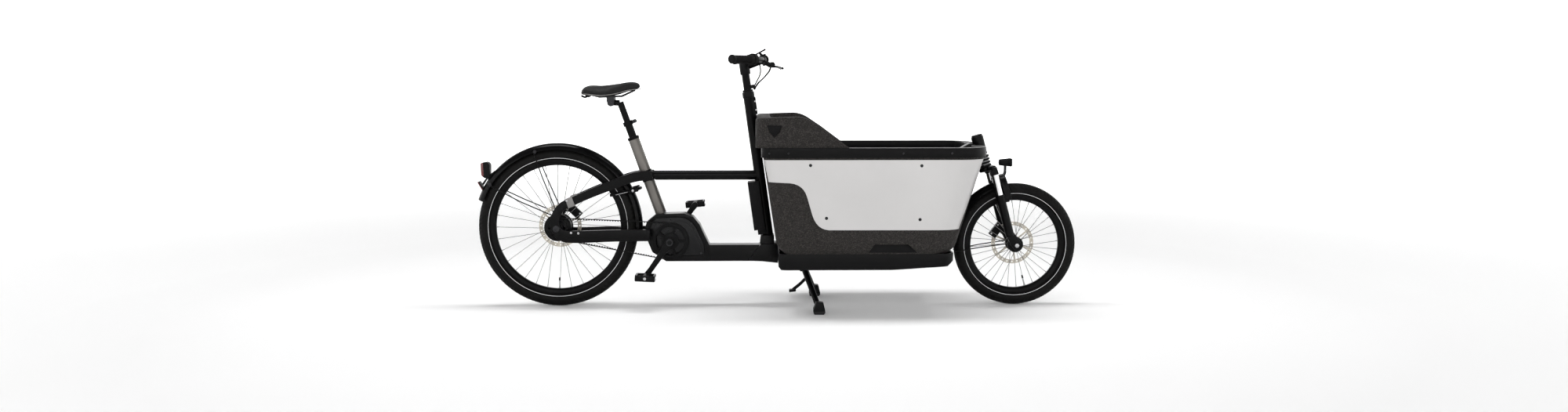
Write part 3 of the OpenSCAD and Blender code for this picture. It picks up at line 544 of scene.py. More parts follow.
def rim(name, centre, seat, body, replaces):
    """A double-walled rim with hooked edges, its nipples and a valve."""
    inner = seat - 23
    outline = [(inner, -6), (inner + 2, -9), (inner + 7, -13.5), (seat - 2, -14.8), (seat, -14.4), (seat, -11),
               (seat - 5, -9), (seat - 7, 0), (seat - 5, 9), (seat, 11), (seat, 14.4), (seat - 2, 14.8),
               (inner + 7, 13.5), (inner + 2, 9), (inner, 6)]
    piece(name, [turned(outline, 144)], M["rim"], body, centre, replaces, sharp=50)
    nipples = []
    for i in range(32):
        a = 2 * math.pi * i / 32
        y = 2 if i % 2 == 0 else -2
        out = Vector((math.cos(a), 0, math.sin(a)))
        nipples.append(bar(out * (inner + 1) + Vector((0, y, 0)), out * (inner - 11) + Vector((0, y * 1.1, 0)),
                           2.2, 10, 1.5))
    piece(name + "_nipples", nipples, M["steel"], body, centre)
    down = Vector((0, 0, -1))
    valve = [bar(down * (inner + 1), down * (inner - 34), 3.1, 14)]
    valve.append(bar(down * (inner - 1), down * (inner - 5), 5, 6))
    piece(name + "_valve", valve, M["steel"], body, centre, bevel=0.3)
    piece(name + "_valve_cap", [bar(down * (inner - 33), down * (inner - 46), 3.9, 14, 2.8)], M["plastic"], body,
          centre, bevel=0.5)


def hub_bolts(name, centre, radius, y, body):
    heads = []
    for k in range(6):
        a = math.radians(60 * k + 24)
        x, z = radius * math.cos(a), radius * math.sin(a)
        heads.append(bar((x, y, z), (x, y + 2.2, z), 3.6, 12, 3.2))
    piece(name, heads, M["bolt"], body, centre, bevel=0.3)


tyre("rear_tyre_tread", REAR, 334, 55, 284, 112, "rear_wheel", ["rear_tyre"])
rim("rear_rim_wall", REAR, 284, "rear_wheel", ["rear_rim"])
hub_bolts("rear_rotor_bolts", REAR, 26, 46, "rear_wheel")
tyre("front_tyre_tread", FRONT, 258, 54, 209, 88, "front_wheel", ["front_tyre"])
rim("front_rim_wall", FRONT, 209, "front_wheel", ["front_rim"])
hub_bolts("front_rotor_bolts", FRONT, 26, 40, "front_wheel")
for node in ("rear_spokes", "front_spokes"):
    repaint(node, M["spoke"])
repaint("rear_hub", M["anodised"])
repaint("front_hub", M["anodised"])
repaint("rear_rotor", REAR_ROTOR_STEEL)
repaint("front_rotor", FRONT_ROTOR_STEEL)


# ---- mudguards ----

def arch(radius, half, bow, wall=2.2):
    """Section of a mudguard: crowned skin with a small rolled edge."""
    lean = math.asin(half / bow)
    angles = [lean * k / 7 for k in range(-7, 8)]
    outer = [(radius - bow + bow * math.cos(a), bow * math.sin(a)) for a in angles]
    inner = [(radius - bow + (bow - wall) * math.cos(a), (bow - wall) * math.sin(a)) for a in reversed(angles)]
    return outer + inner


def stay_wires(paths, name, body, at=HERE):
    wires = [tube(filleted(path, 14), 2.3, 12) for path in paths]
    piece(name, wires, M["anodised"], body, at)


piece("rear_mudguard", [turned(arch(354, 33, 34), 110, -8, 168.5)], M["fender"], "frame", REAR,
      ["rear_fender"], sharp=50)
piece("rear_mudguard_foot", [brick((344, -7, 292), (371, 7, 306))], M["fender"], "frame", HERE,
      bevel=1.5)
stay_wires([[(-95, s * 34.5, 651), (-58, s * 50, 548), (0, s * 61, 406)] for s in SIDES]
           + [[(-279, s * 34.5, 511), (-150, s * 54, 446), (-6, s * 61, 384)] for s in SIDES],
           "rear_mudguard_wires", "frame")
clips = []
for x, z in ((-90, 652), (-278, 515)):
    for s in SIDES:
        clips.append(bar((x, s * 31, z), (x, s * 37, z), 8, 20, 6.5))
piece("rear_mudguard_clips", clips, M["bolt"], "frame", HERE, bevel=0.6)
piece("front_mudguard", [turned(arch(277, 32, 33), 50, 94, 56)], M["fender"], "fork_lower",
      FRONT @ moved(2, 0, 1), ["front_fender"], sharp=50)
stay_wires([[(-253, s * 33.5, 38), (-140, s * 44, 29), (-20, s * 51, 14)] for s in SIDES], "front_mudguard_wires",
           "fork_lower", FRONT)


# ---- load box ----

eased("box_shell", M["foam"], 0, 38)
eased("rear_bolster", M["foam"], 2.6, 40)
eased("side_panels", M["panel"], 0, 30)
eased("rim_band", M["rim_band"], 2.2, 40)
# Dark sheets of painted shade in the step recesses and in the bolster's hand holds
step = [(1283, 259), (1479, 259), (1442, 292.5), (1307, 292.5)]
hold = [(875, 772), (933, 771), (926, 746), (905, 726), (886, 746)]
painted_shade_sheets = []
for s in SIDES:
    painted_shade_sheets.append(prism(step, *sorted((s * 278.4, s * 281))))
    painted_shade_sheets.append(prism(hold, *sorted((s * 296.5, s * 298))))
piece("recess_painted_shade", painted_shade_sheets, M["battery"], "frame", HERE, bevel=0.5)
screws, washers = [], []
for s in SIDES:
    for x, z in ((1048, 613), (1492, 611), (1487, 395), (1112, 401)):
        head = [(0.01, s * 302), (4.6, s * 302), (4.6, s * 304.2), (3.8, s * 304.9), (2.3, s * 304.9),
                (1.9, s * 303.6), (0.01, s * 303.6)]
        screws.append(placed(turned(head, 24), moved(x, 0, z)))
        washer = [(4.5, s * 301.9), (6.4, s * 301.9), (6.1, s * 302.8), (4.5, s * 302.9)]
        washers.append(placed(turned(washer, 28), moved(x, 0, z)))
    for x in (884, 960, 1418, 1612):
        head = [(0.01, s * 308), (4, s * 308), (3.6, s * 309.6), (1.6, s * 309.8), (1.4, s * 308.8),
                (0.01, s * 308.8)]
        screws.append(placed(turned(head, 20), moved(x, 0, 661)))
piece("panel_screws", screws, M["bolt"], "frame", HERE, ["frame_bolts"], sharp=30)
piece("panel_washers", washers, M["plastic"], "frame", HERE, sharp=30)
under = []
for x in (1067, 1280, 1492):
    for s in SIDES:
        z = 186 if x > 1400 else 179
        under.append(bar((x, s * 210, z), (x, s * 210, z + 8), 7, 6))
piece("tray_bolts", under, M["steel"], "frame", HERE, bevel=0.6)

# ---- frame ----

for node, mat, width in (("top_tube", "frame", 0), ("seat_tube", "grey", 0.5),
                         ("motor_bracket", "frame", 2.2), ("motor_unit", "plastic", 0),
                         ("main_beam", "frame", 2.5), ("chassis_tray", "frame", 2.5),
                         ("column_tube", "frame", 0.8), ("battery", "battery", 5.0),
                         ("seat_collar", "anodised", 0.7), ("stem", "frame", 0.7),
                         ("rear_caliper", "lever", 1.4), ("front_caliper", "lever", 1.4),
                         ("rear_pulley", "anodised", 0.4), ("front_pulley", "anodised", 0.5)):
    eased(node, M[mat], width)
for node, mat in (("bearings", "steel"), ("steering_sleeve", "anodised"), ("saddle_rails", "rail"),
                  ("seat_post", "anodised")):
    repaint(node, M[mat])


def band(path, sizes):
    """Outline of a flat band along a smooth path of (x, z) points, with its width at each of them."""
    knots = smooth([(x, z, w) for (x, z), w in zip(path, sizes)], 8)
    left, right = [], []
    for i, knot in enumerate(knots):
        a, b = knots[max(i - 1, 0)], knots[min(i + 1, len(knots) - 1)]
        run = Vector((b.x - a.x, b.y - a.y)).normalized()
        off = Vector((-run.y, run.x)) * knot.z / 2
        left.append((knot.x + off.x, knot.y + off.y))
        right.append((knot.x - off.x, knot.y - off.y))
    return left + right[::-1]


def leaned_in(shape, x0, x1, shift):
    """A plate drawn in towards the middle over a run of X, by shift at the run's end."""
    verts, faces = shape
    out = []
    for x, y, z in verts:
        t = min(max((x - x0) / (x1 - x0), 0), 1)
        out.append((x, y - math.copysign(shift * t * t * (3 - 2 * t), y), z))
    return out, faces


def tail_frame():
    """Seat stays that sweep down into C-shaped dropout yokes and on into the chainstays."""
    yoke = band([(56, 441), (30, 430), (9, 408), (-3, 380), (-4, 350), (7, 321), (32, 304), (66, 300), (130, 301),
                 (250, 305), (388, 306)], [35, 35, 35, 36, 38, 44, 49, 50, 50, 49, 48])
    sides = [prism(yoke, *sorted((s * 60, s * 78))) for s in SIDES]
    lugs = [brick((362, min(s * 38, s * 61), 289), (379, max(s * 38, s * 61), 325)) for s in SIDES]
    ends = [placed(prism(circle(0, 334, 18, 40), 59, 77.5), HERE if s > 0 else MIRROR) for s in SIDES]
    shaft = [bar((0, -83, 334), (0, 83, 334), 7.4, 28)]
    piece("chainstay_yokes", sides + lugs, M["frame"], "frame", HERE, ["chainstays"], bevel=4.5)
    piece("dropout_faces", ends + shaft, M["frame"], "frame", HERE, bevel=1)
    sweep = band([(400, 553), (345, 551), (290, 538), (232, 516), (165, 490), (110, 467), (56, 442)],
                 [40, 40, 39, 37, 36, 35, 35])
    stays = [placed(prism(sweep, 59, 77), HERE if s > 0 else MIRROR) for s in SIDES]
    stays = [leaned_in(shape, 240, 370, 32) for shape in stays]
    collar = [placed(turned([(19.4, -183), (26, -183), (26, -139), (19.4, -139)], 56), SEAT @ UPRIGHT)]
    piece("seat_stay_sweep", stays + collar, M["frame"], "frame", HERE, ["seat_stays"])


tail_frame()

# Alloy clamps that split each dropout yoke, with two bolts on each chainstay
for name, s in (("left", 1), ("right", -1)):
    lo, hi = sorted((s * 58.5, s * 79.5))
    block = rounded([(40, 459), (66, 469), (80, 431), (52, 420)], 5)
    piece("yoke_clamp_" + name, [prism(block, lo, hi)], M["clamp"], "frame", HERE, bevel=1.2)
    heads = []
    for x, z in ((62, 318), (92, 316), (46, 452)):
        heads.append(bar((x, s * 77, z), (x, s * 81.5, z), 5.5, 20, 4.6))
    piece("yoke_bolts_" + name, heads, M["steel"], "frame", HERE, bevel=0.6)
    nut = [bar((0, s * 77, 334), (0, s * 84, 334), 11, 6), bar((0, s * 77, 334), (0, s * 80, 334), 14, 28)]
    piece("axle_nut_" + name, nut, M["bolt"], "frame", HERE, bevel=0.8)

# Piston caps, pad pin and fixing bolts on the wheel side of each caliper
CALIPER_R = 88
for name, body, at, angle, y in (("rear", "frame", REAR, 45, 45), ("front", "fork_lower", FRONT, 128, 39)):
    there = at @ leaning(angle) @ moved(CALIPER_R, y, 0)
    caps = [bar((-3, -7.6, 0), (-3, -9.6, 0), 10.5, 32, 8.6)]
    caps.append(bar((-12.5, -7.6, -14), (-12.5, -9.4, 14), 1.8, 12))
    piece(name + "_caliper_caps", caps, M["anodised"], body, there, bevel=0.5)
    heads = [bar((9, -7.6, z), (9, -10, z), 4.4, 20, 3.8) for z in (-23, 23)]
    piece(name + "_caliper_bolts", heads, M["steel"], body, there, bevel=0.4)

# Lock that rings the rear wheel under the seat stays
ring = [(222, 50, 471), (270, 51, 482), (312, 48, 491), (338, 30, 497), (346, 0, 499)]
ring = smooth(ring + [(x, -y, z) for x, y, z in reversed(ring[:-1])], 5)
ends = [bar((300, s * 50, 487), (338, s * 46, 498), 10.5, 24) for s in SIDES]
piece("ring_lock_body", [tube(ring, 6.2, 20)] + ends, M["lock"], "frame", HERE, ["ring_lock"])
keyway = [bar((318, -59, 492), (318, -62, 492), 5.2, 20), bar((246, -57.5, 474), (296, -57.5, 486), 1.6, 12)]
piece("ring_lock_keyway", keyway, M["steel"], "frame", HERE, bevel=0.4)

# Front post of the box with the head tube and its cap
web = rounded([(1602, 232), (1630, 232), (1630, 470), (1692, 590), (1735, 642), (1752, 650), (1752, 680),
               (1726, 686), (1664, 650), (1602, 490)], 6)
piece("head_tube_web", [prism(web, -28, 28)], M["frame"], "frame", HERE, ["head_tube"], bevel=2.5)
barrel = [bar((0, 0, 43), (0, 0, 122), 25.6, 44), bar((0, 0, 96), (0, 0, 129.5), 26.6, 44, 22)]
piece("head_tube_body", barrel, M["frame"], "frame", FORK, bevel=0.8)

# Bolts through the column's collar
collar = [bar((24, -14, z), (24, 14, z), 3.6, 16) for z in (-18, -54)]
piece("column_collar_bolts", collar, M["steel"], "frame", COLUMN, bevel=0.5)

# ---- motor and drive ----

WINDOW = [(404, 374), (520, 380), (552, 368), (578, 340), (596, 300), (616, 256), (612, 216), (460, 212),
          (412, 244), (380, 320)]
skins, crowns = [], []
for s in SIDES:
    lo, hi = sorted((s * 33, s * 40))
    skins.append(prism(rounded(inset(WINDOW, 1.5), 22), lo, hi))
    lo, hi = sorted((s * 39, s * 42.5))
    crowns.append(prism(rounded(inset(WINDOW, 16), 18), lo, hi))
piece("motor_cover_skins", skins, M["motor"], "frame", HERE, ["motor_covers"], bevel=3)
piece("motor_cover_crowns", crowns, M["motor"], "frame", HERE, bevel=2.4)
caps = [turned([(25, s * 42), (33, s * 42), (31, s * 45.5), (26, s * 45.5)], 56) for s in SIDES]
piece("motor_spindle_caps", caps, M["plastic"], "frame", CRANK)
heads = []
for x, z in ((414, 356), (560, 352), (600, 226), (470, 224), (402, 262)):
    heads += [bar((x, s * 39.5, z), (x, s * 42.2, z), 4.2, 16, 3.6) for s in SIDES]
piece("motor_cover_screws", heads, M["bolt"], "frame", HERE, bevel=0.4)


def belt_path(grow, fine=40):
    """Centreline points of the belt, from the rear pulley's angle round both pulleys."""
    reach, rise = 471, 278 - 334
    slope = math.atan2(rise, reach)
    swing = math.acos((42 - 77) / math.hypot(reach, rise))
    front = circle(reach, rise, 77 + grow, fine, math.degrees(slope - swing), math.degrees(2 * swing))
    rear = circle(0, 0, 42 + grow, fine, math.degrees(slope + swing), 360 - math.degrees(2 * swing))
    return front + rear


def belt():
    low, high = -55.5, -44.5
    outer, inner = belt_path(2.5), belt_path(0.2)
    rings = [[(o[0], low, o[1]), (o[0], high, o[1]), (i[0], high, i[1]), (i[0], low, i[1])]
             for o, i in zip(outer, inner)]
    shapes = [loft(rings, True)]
    path = belt_path(0.4)
    for a, b in zip(path, path[1:] + path[:1]):
        run = Vector((b[0] - a[0], b[1] - a[1]))
        if run.length < 60:
            continue
        along = run.normalized()
        into = Vector((-along.y, along.x))
        count = int(run.length / 11)
        for k in range(1, count):
            c = Vector(a) + along * (k * run.length / count)
            foot = [c - along * 3.2, c + along * 3.2, c + along * 2.0 + into * 3.2, c - along * 2.0 + into * 3.2]
            shapes.append(prism([tuple(v) for v in foot], low, high))
    piece("belt_loop", shapes, M["belt"], "frame", REAR, ["drive_belt"], sharp=30)


belt()


def crank(name, at, turn, replaces):
    """A forged arm with a waisted blade, its axle bolt and the pedal's spindle."""
    outline = rounded([(-6, -19), (14, -18.5), (60, -12.5), (140, -11), (168, -13.5), (181, -8), (184, 0),
                       (181, 8), (168, 13.5), (140, 11), (60, 12.5), (14, 18.5), (-6, 19), (-17, 11), (-20, 0),
                       (-17, -11)], 6)
    arm = prism(outline, -13, 0)
    matrix = at @ moved(0, -83, 0) @ leaning(-turn)
    piece(name, [arm], M["anodised"], "crankset", matrix, replaces, bevel=3.2)
    hub = [turned([(9.5, -13), (15, -13), (14, -15.6), (9.5, -15.6)], 40)]
    piece(name + "_cap", hub, M["bolt"], "crankset", matrix, bevel=0.6)
    spindle = [bar((170, -12, 0), (170, -18, 0), 8.6, 8), bar((170, -13, 0), (170, -97, 0), 6.9, 24, 6.2)]
    piece(name + "_spindle", spindle, M["steel"], "crankset", matrix, bevel=0.5)


crank("crank_arm_right", CRANK, 180 - 55, ["crank_right"])
crank("crank_arm_left", CRANK @ MIRROR, -55, ["crank_left"])


def pedal(name, at, body, replaces):
    """A platform: a hollow core, side rails, two treads with studs and end reflectors."""
    core = [turned([(7.3, -179), (11.5, -177), (13, -150), (13, -112), (11, -101), (7.3, -101)], 28)]
    rails = [prism(rounded([(-41, -12), (41, -12), (41, 12), (-41, 12)], 5), y, y + 7) for y in (-179, -108)]
    treads = []
    for x in (-41, 32):
        treads.append(brick((x, -174, -12), (x + 9, -106, 12)))
        treads.append(brick((x + (11 if x < 0 else -8), -172, -3), (x + (17 if x < 0 else -2), -108, 3)))
    for y in (-146, -130):
        treads.append(brick((-34, y - 2, -5), (34, y + 2, 5)))
    studs = [bar((x, y, -12.8), (x, y, 12.8), 1.8, 8) for x in (-36.5, 36.5) for y in range(-168, -108, 11)]
    piece(name, core + rails + treads, M["plastic"], body, at, replaces, bevel=1.2)
    piece(name + "_studs", studs, M["steel"], body, at, bevel=0.3)
    panes = [brick((x, -166, -5.5), (x + 1.4, -114, 5.5)) for x in (-41.4, 40)]
    piece(name + "_reflectors", panes, M["reflector"], body, at, bevel=0.4)


PEDAL_X = 170 * math.cos(math.radians(55))
PEDAL_Z = 170 * math.sin(math.radians(55))
pedal("pedal_platform_right", moved(471 - PEDAL_X, 0, 278 - PEDAL_Z) @ leaning(-3), "pedal_right", ["pedal_right"])
pedal("pedal_platform_left", MIRROR @ moved(471 + PEDAL_X, 0, 278 + PEDAL_Z) @ leaning(5), "pedal_left",
      ["pedal_left"])

# ---- rear lamp ----

housing = rounded([(-318, 606), (-292, 610), (-280, 600), (-282, 548), (-302, 540), (-316, 552)], 6)
piece("rear_lamp_housing", [prism(inset(housing, 0.3), -22, 22)], M["plastic"], "frame", HERE,
      ["tail_light"], bevel=3)
glass = rounded([(-318, 604), (-308, 607), (-306, 548), (-316, 553)], 3)
piece("rear_lamp_lens", [prism(glass, -23.6, 23.6)], M["red"], "frame", HERE, bevel=1.6)
piece("rear_lamp_bracket", [prism([(-292, 548), (-264, 572), (-258, 566), (-292, 532)], -9, 9),
                            prism([(-296, 546), (-286, 552), (-310, 512), (-318, 516)], -7, 7)],
      M["fender"], "frame", HERE, bevel=1)
piece("rear_reflector", [prism([(-333, 524), (-330, 527), (-311, 494), (-314, 491)], -21.5, 21.5)], M["red"],
      "frame", HERE, bevel=0.8)
piece("rear_reflector_back", [prism([(-330, 527), (-326, 527), (-309, 498), (-311, 494)], -20, 20)], M["plastic"],
      "frame", HERE, bevel=0.8)

# ---- seat ----

# Saddle stations: x, half width, top, lower edge
STATIONS = [(107, 40, 904, 892), (112, 74, 913, 888), (122, 84, 922, 885), (135, 90, 926, 883), (158, 93, 925, 880),
            (183, 82, 923, 877), (205, 66, 925, 876), (228, 48, 928, 878), (260, 35, 933, 885), (290, 28, 938, 896),
            (315, 24, 940, 901), (335, 19, 937, 905), (346, 13, 931, 910), (350, 6, 925, 914)]


def saddle_ring(x, half, top, low, count=40):
    ring = []
    middle = low + 0.3 * (top - low)
    for k in range(count):
        a = 2 * math.pi * k / count
        y = half * math.copysign(abs(math.cos(a)) ** 0.75, math.cos(a))
        if math.sin(a) >= 0:
            z = middle + (top - middle) * math.sin(a) ** 0.7
            z -= 3.5 * math.exp(-(y / 9) ** 2) * max(0, min(1, (x - 125) / 30, (310 - x) / 40))
        else:
            z = middle + (middle - low) * math.sin(a) * (1 - 0.55 * math.exp(-(y / (0.6 * half)) ** 2))
        ring.append((x, y, z))
    return ring


def remeshed(obj, voxel):
    remesh = obj.modifiers.new("remesh", "REMESH")
    remesh.mode = "VOXEL"
    remesh.voxel_size = voxel
    apply_modifiers(obj)


def apply_modifiers(obj):
    graph = bpy.context.evaluated_depsgraph_get()
    mesh = bpy.data.meshes.new_from_object(obj.evaluated_get(graph))
    obj.modifiers.clear()
    old = obj.data
    obj.data = mesh
    bpy.data.meshes.remove(old)


def swell(obj, cap, held_below):
    """Inflates a padded cover as cloth, moving no point further than cap and none under held_below."""
    remeshed(obj, 5 * MM)
    start = [v.co.copy() for v in obj.data.vertices]
    held = obj.vertex_groups.new(name="held")
    held.add([v.index for v in obj.data.vertices if v.co.z < held_below(v.co)], 1.0, "ADD")
    cloth = obj.modifiers.new("cloth", "CLOTH")
    cloth.settings.quality = 6
    cloth.settings.mass = 0.3
    cloth.settings.tension_stiffness = cloth.settings.compression_stiffness = 18
    cloth.settings.bending_stiffness = 1.5
    cloth.settings.use_pressure = True
    cloth.settings.uniform_pressure_force = 4
    cloth.settings.vertex_group_mass = "held"
    cloth.settings.effector_weights.gravity = 0
    cloth.point_cache.frame_start, cloth.point_cache.frame_end = 1, 20
    for step in range(1, 21):
        bpy.context.scene.frame_set(step)
    graph = bpy.context.evaluated_depsgraph_get()
    swollen = [v.co.copy() for v in obj.evaluated_get(graph).data.vertices]
    obj.modifiers.clear()
    bpy.context.scene.frame_set(1)
    for vertex, before, after in zip(obj.data.vertices, start, swollen):
        step = after - before
        vertex.co = before + (step if step.length <= cap else step.normalized() * cap)
    ease = obj.modifiers.new("ease", "SMOOTH")
    ease.factor, ease.iterations = 0.5, 4
    finer = obj.modifiers.new("finer", "SUBSURF")
    finer.levels = finer.render_levels = 1
    apply_modifiers(obj)
    for polygon in obj.data.polygons:
        polygon.use_smooth = True


def make_saddle():
    verts, faces = loft([saddle_ring(*s) for s in STATIONS])
    mesh = bpy.data.meshes.new("saddle_padding")
    mesh.from_pydata([row(v) for v in verts], [], faces)
    obj = bpy.data.objects.new("saddle_padding", mesh)
    bpy.context.scene.collection.objects.link(obj)
    swell(obj, 4 * MM, lambda co: row((0, 0, 890 + 14 * max(0, (co.x - REAR_X) / MM - 240) / 100)).z)
    if not obj.data.materials:
        obj.data.materials.append(M["saddle"])
    settle(obj, "saddle", ["saddle_cover"])


make_saddle()
seam = [(x, s * (half + 0.5), low + 0.3 * (top - low) - 3) for s in SIDES for x, half, top, low
        in (STATIONS[1:] if s > 0 else STATIONS[:0:-1])]
piece("saddle_piping", [tube(smooth(seam, 4), 1.6, 8)], M["piping"], "saddle", HERE)
sockets = [tube(smooth([(112, s * 70, 886), (126, s * 60, 880), (136, s * 36, 886)], 5), 4, 10) for s in SIDES]
piece("saddle_rail_sockets", sockets, M["plastic"], "saddle", HERE)
blade = rounded([(-48, -4.5), (-2, -6.5), (7, -4), (7, 4), (-2, 6.5), (-46, 4.5)], 3)
eye = turned([(4.1, 22), (8, 22), (8, 29), (4.1, 29)], 32)
piece("seat_clamp_lever", [prism(inset(blade, 0.4), 22.6, 28.4), eye], M["lever"], "seat_lever",
      SEAT @ moved(28, 0, 71), ["seat_lever"], bevel=1.2)
piece("seat_clamp_nut", [bar((28, -15, 71), (28, -19, 71), 7, 20)], M["bolt"], "frame", SEAT,
      bevel=0.8)

# ---- handlebar ----

GRIP_IN, GRIP_OUT = Vector((834, 186, 1034)), Vector((737, 325, 1034))
GRIP_LENGTH = (GRIP_OUT - GRIP_IN).length
BAR_HALF = [(864, 52, 1034), (855, 130, 1034), tuple(GRIP_IN), tuple(GRIP_OUT)]
mirrored = [(x, -y, z) for x, y, z in reversed(BAR_HALF)]
bulge = bar((864, -30, 1034), (864, 30, 1034), 12.7, 32)
piece("bar_tube", [tube(filleted(mirrored + BAR_HALF, 26), 11.05, 28), bulge], M["frame"], "handlebar", HERE,
      ["handlebar"])
# The left grip's frame: its Y axis runs outward along the bar
GRIP = Matrix.Translation(GRIP_IN) @ Matrix.Rotation(
    math.atan2(GRIP_OUT.y - GRIP_IN.y, GRIP_OUT.x - GRIP_IN.x) - math.pi / 2, 4, "Z")


def grip(name, at, start, replaces):
    """A sleeve with round ribs, a wide inner collar and a bar end."""
    end = GRIP_LENGTH
    outline = [(11.2, start), (15.8, start), (15.8, start + 4)]
    y = start + 5
    while y < end - 13:
        outline += [(14.6, y), (15.9, y + 0.8), (15.9, y + 3.0), (14.6, y + 3.8)]
        y += 4.6
    outline += [(15.5, end - 9), (17.4, end - 7), (18, end - 4), (18, end + 1), (16, end + 3.8), (11.2, end + 3.8)]
    piece(name, [turned(outline, 48)], M["grip"], "handlebar", at, replaces, sharp=55)
    plug = [turned([(0.01, end - 1), (11.1, end - 1), (11.1, end + 3.6), (8, end + 3.9), (0.01, end + 3.9)], 32)]
    piece(name + "_plug", plug, M["plastic"], "handlebar", at)


grip("grip_left", GRIP, 34, ["grips"])
grip("grip_right", MIRROR @ GRIP, 62, [])


def ribbed(stations, ribs, count=96):
    rings = []
    for y, radius, rib in stations:
        ring = []
        for k in range(count):
            a = 2 * math.pi * k / count
            r = radius + rib * max(0, math.cos(ribs * a))
            ring.append((r * math.cos(a), y, r * math.sin(a)))
        rings.append(ring)
    return rings


outer = ribbed([(14, 20, 0), (15, 23, 0), (33, 23.6, 0), (34, 20, 0), (36, 18.4, 0), (38, 18.6, 1.3),
                (57, 17.6, 1.3), (60, 16.4, 0), (61, 15, 0)], 16)
bore = [[(11.3 * math.cos(2 * math.pi * k / 96), y, 11.3 * math.sin(2 * math.pi * k / 96)) for k in range(96)]
        for y in (61, 14)]
piece("shifter_sleeve", [loft(outer + bore, True)], M["grip"], "twist_shifter", MIRROR @ GRIP,
      ["twist_shifter"], sharp=50)
eased("bar_controls", M["plastic"], 0.8)
screen = [(831, 1055.6), (868, 1073.8), (867, 1075.6), (830, 1057.4)]
piece("display_window", [prism(screen, -72, -20)], M["screen"], "handlebar", HERE, bevel=0.4)
collars = []
for s in SIDES:
    collars.append(bar((850, s * 118, 1018), (850, s * 118, 1050), 2.6, 12))
    collars.append(bar((850, s * 96, 1049), (850, s * 96, 1051), 3, 12))
    collars.append(bar((898, s * 96, 1020), (898, s * 96, 1024), 9, 28, 8))
piece("perch_screws", collars, M["bolt"], "handlebar", HERE, bevel=0.3)
faceplate = []
for x, z in ((864, 1056), (864, 1012)):
    faceplate += [bar((x - 4, s * 16, z - 2), (x + 8, s * 16, z + 1), 2.8, 12) for s in SIDES]
piece("stem_screws", faceplate, M["bolt"], "handlebar", HERE, bevel=0.3)

LEVER_PATH = [(0, 0, 0), (12, 10, -1), (21, 25, -2), (25, 46, -3), (28, 70, -5), (32, 96, -6.5), (36, 116, -8)]
for name, matrix in (("left", moved(902, 124, 1006)), ("right", MIRROR @ moved(902, 124, 1006))):
    tip = turned([(0.01, 113), (3.6, 113.5), (4.8, 116.5), (3.6, 119.5), (0.01, 120)], 24)
    pivot = turned([(3.1, -4.4), (8.8, -4.4), (8.8, 4.4), (3.1, 4.4)], 32)
    blade = [tube(smooth(LEVER_PATH, 6), 4.4, 14, 0.8), placed(tip, moved(36, 0, -8)), placed(pivot, UPRIGHT)]
    piece("brake_blade_" + name, blade, M["lever"], "brake_lever_" + name, matrix,
          ["brake_lever_" + name])

HOSES = [
    [(892, -92, 1002), (886, -72, 986), (866, -46, 962), (844, -22, 940), (831, -10, 922), (826, -8, 910)],
    [(892, 92, 1002), (884, 70, 984), (862, 44, 958), (840, 22, 938), (829, 10, 922), (824, 8, 910)],
    [(846, -168, 1014), (850, -120, 990), (846, -66, 968), (836, -24, 948), (825, -2, 926), (822, 0, 910)],
]


def cable(name, points, body, diameter, replaces=(), fine=8):
    """A hose or cable, a round tube along a smooth route through its points."""
    path = smooth(points, fine)
    obj = piece(name, [tube(path, diameter / 2, 12, rounding=0.05)], M["hose"], body, HERE, replaces)


for name, points in zip(("hose_front_brake", "hose_rear_brake", "cable_shifter"), HOSES):
    cable(name, points, "handlebar", 5, ["brake_hoses"] if name == "hose_front_brake" else ())

# ---- fork ----

crown = rounded([(-82, -46), (-52, -46), (-44, -30), (44, -30), (52, -46), (82, -46), (82, -24), (56, -13),
                 (-56, -13), (-82, -24)], 7)
cups = [bar((23, s * 66, -47), (23, s * 66, -15), 18.4, 40, 16) for s in SIDES]
casting = [placed(prism(crown, -38, -8), ACROSS), bar((0, 0, -30), (0, 0, -13), 26, 40)] + cups
piece("crown_casting", casting, M["frame"], "fork_upper", FORK, ["fork_crown"], bevel=3)
piece("fork_stanchions", [bar((23, s * 66, -260), (23, s * 66, -44), 14.9, 40) for s in SIDES], M["chrome"],
      "fork_upper", FORK)
piece("fork_steerer", [bar((0, 0, -14), (0, 0, 123), 14.25, 36)], M["anodised"], "fork_upper", FORK)
knob = turned([(0.01, -12.4), (13, -12.4), (12.4, -9.5), (7, -8.2), (0.01, -8.2)], 32)
knobs = [placed(knob, moved(23, s * 66, 0) @ UPRIGHT) for s in SIDES]
piece("fork_knobs", knobs, M["plastic"], "fork_upper", FORK, sharp=30)
spool = [(14.4, -11), (23, -11)]
for z in (-9, 4, 17, 30):
    spool += [(23, z), (29.6, z), (29.6, z + 7), (23, z + 7)]
spool += [(23, 39), (14.4, 39)]
piece("cable_spool", [placed(turned(spool, 56), UPRIGHT)], M["plastic"], "fork_upper", FORK,
      ["cable_drum"], sharp=30, bevel=0.5)
wraps = []
for z in (-0.4, 2.4, 12.6, 15.4, 25.6, 28.4):
    wraps.append(placed(turned(circle(24.4, z, 1.35, 10), 56), UPRIGHT))
piece("steering_cable_wraps", wraps, M["steel"], "fork_upper", FORK)

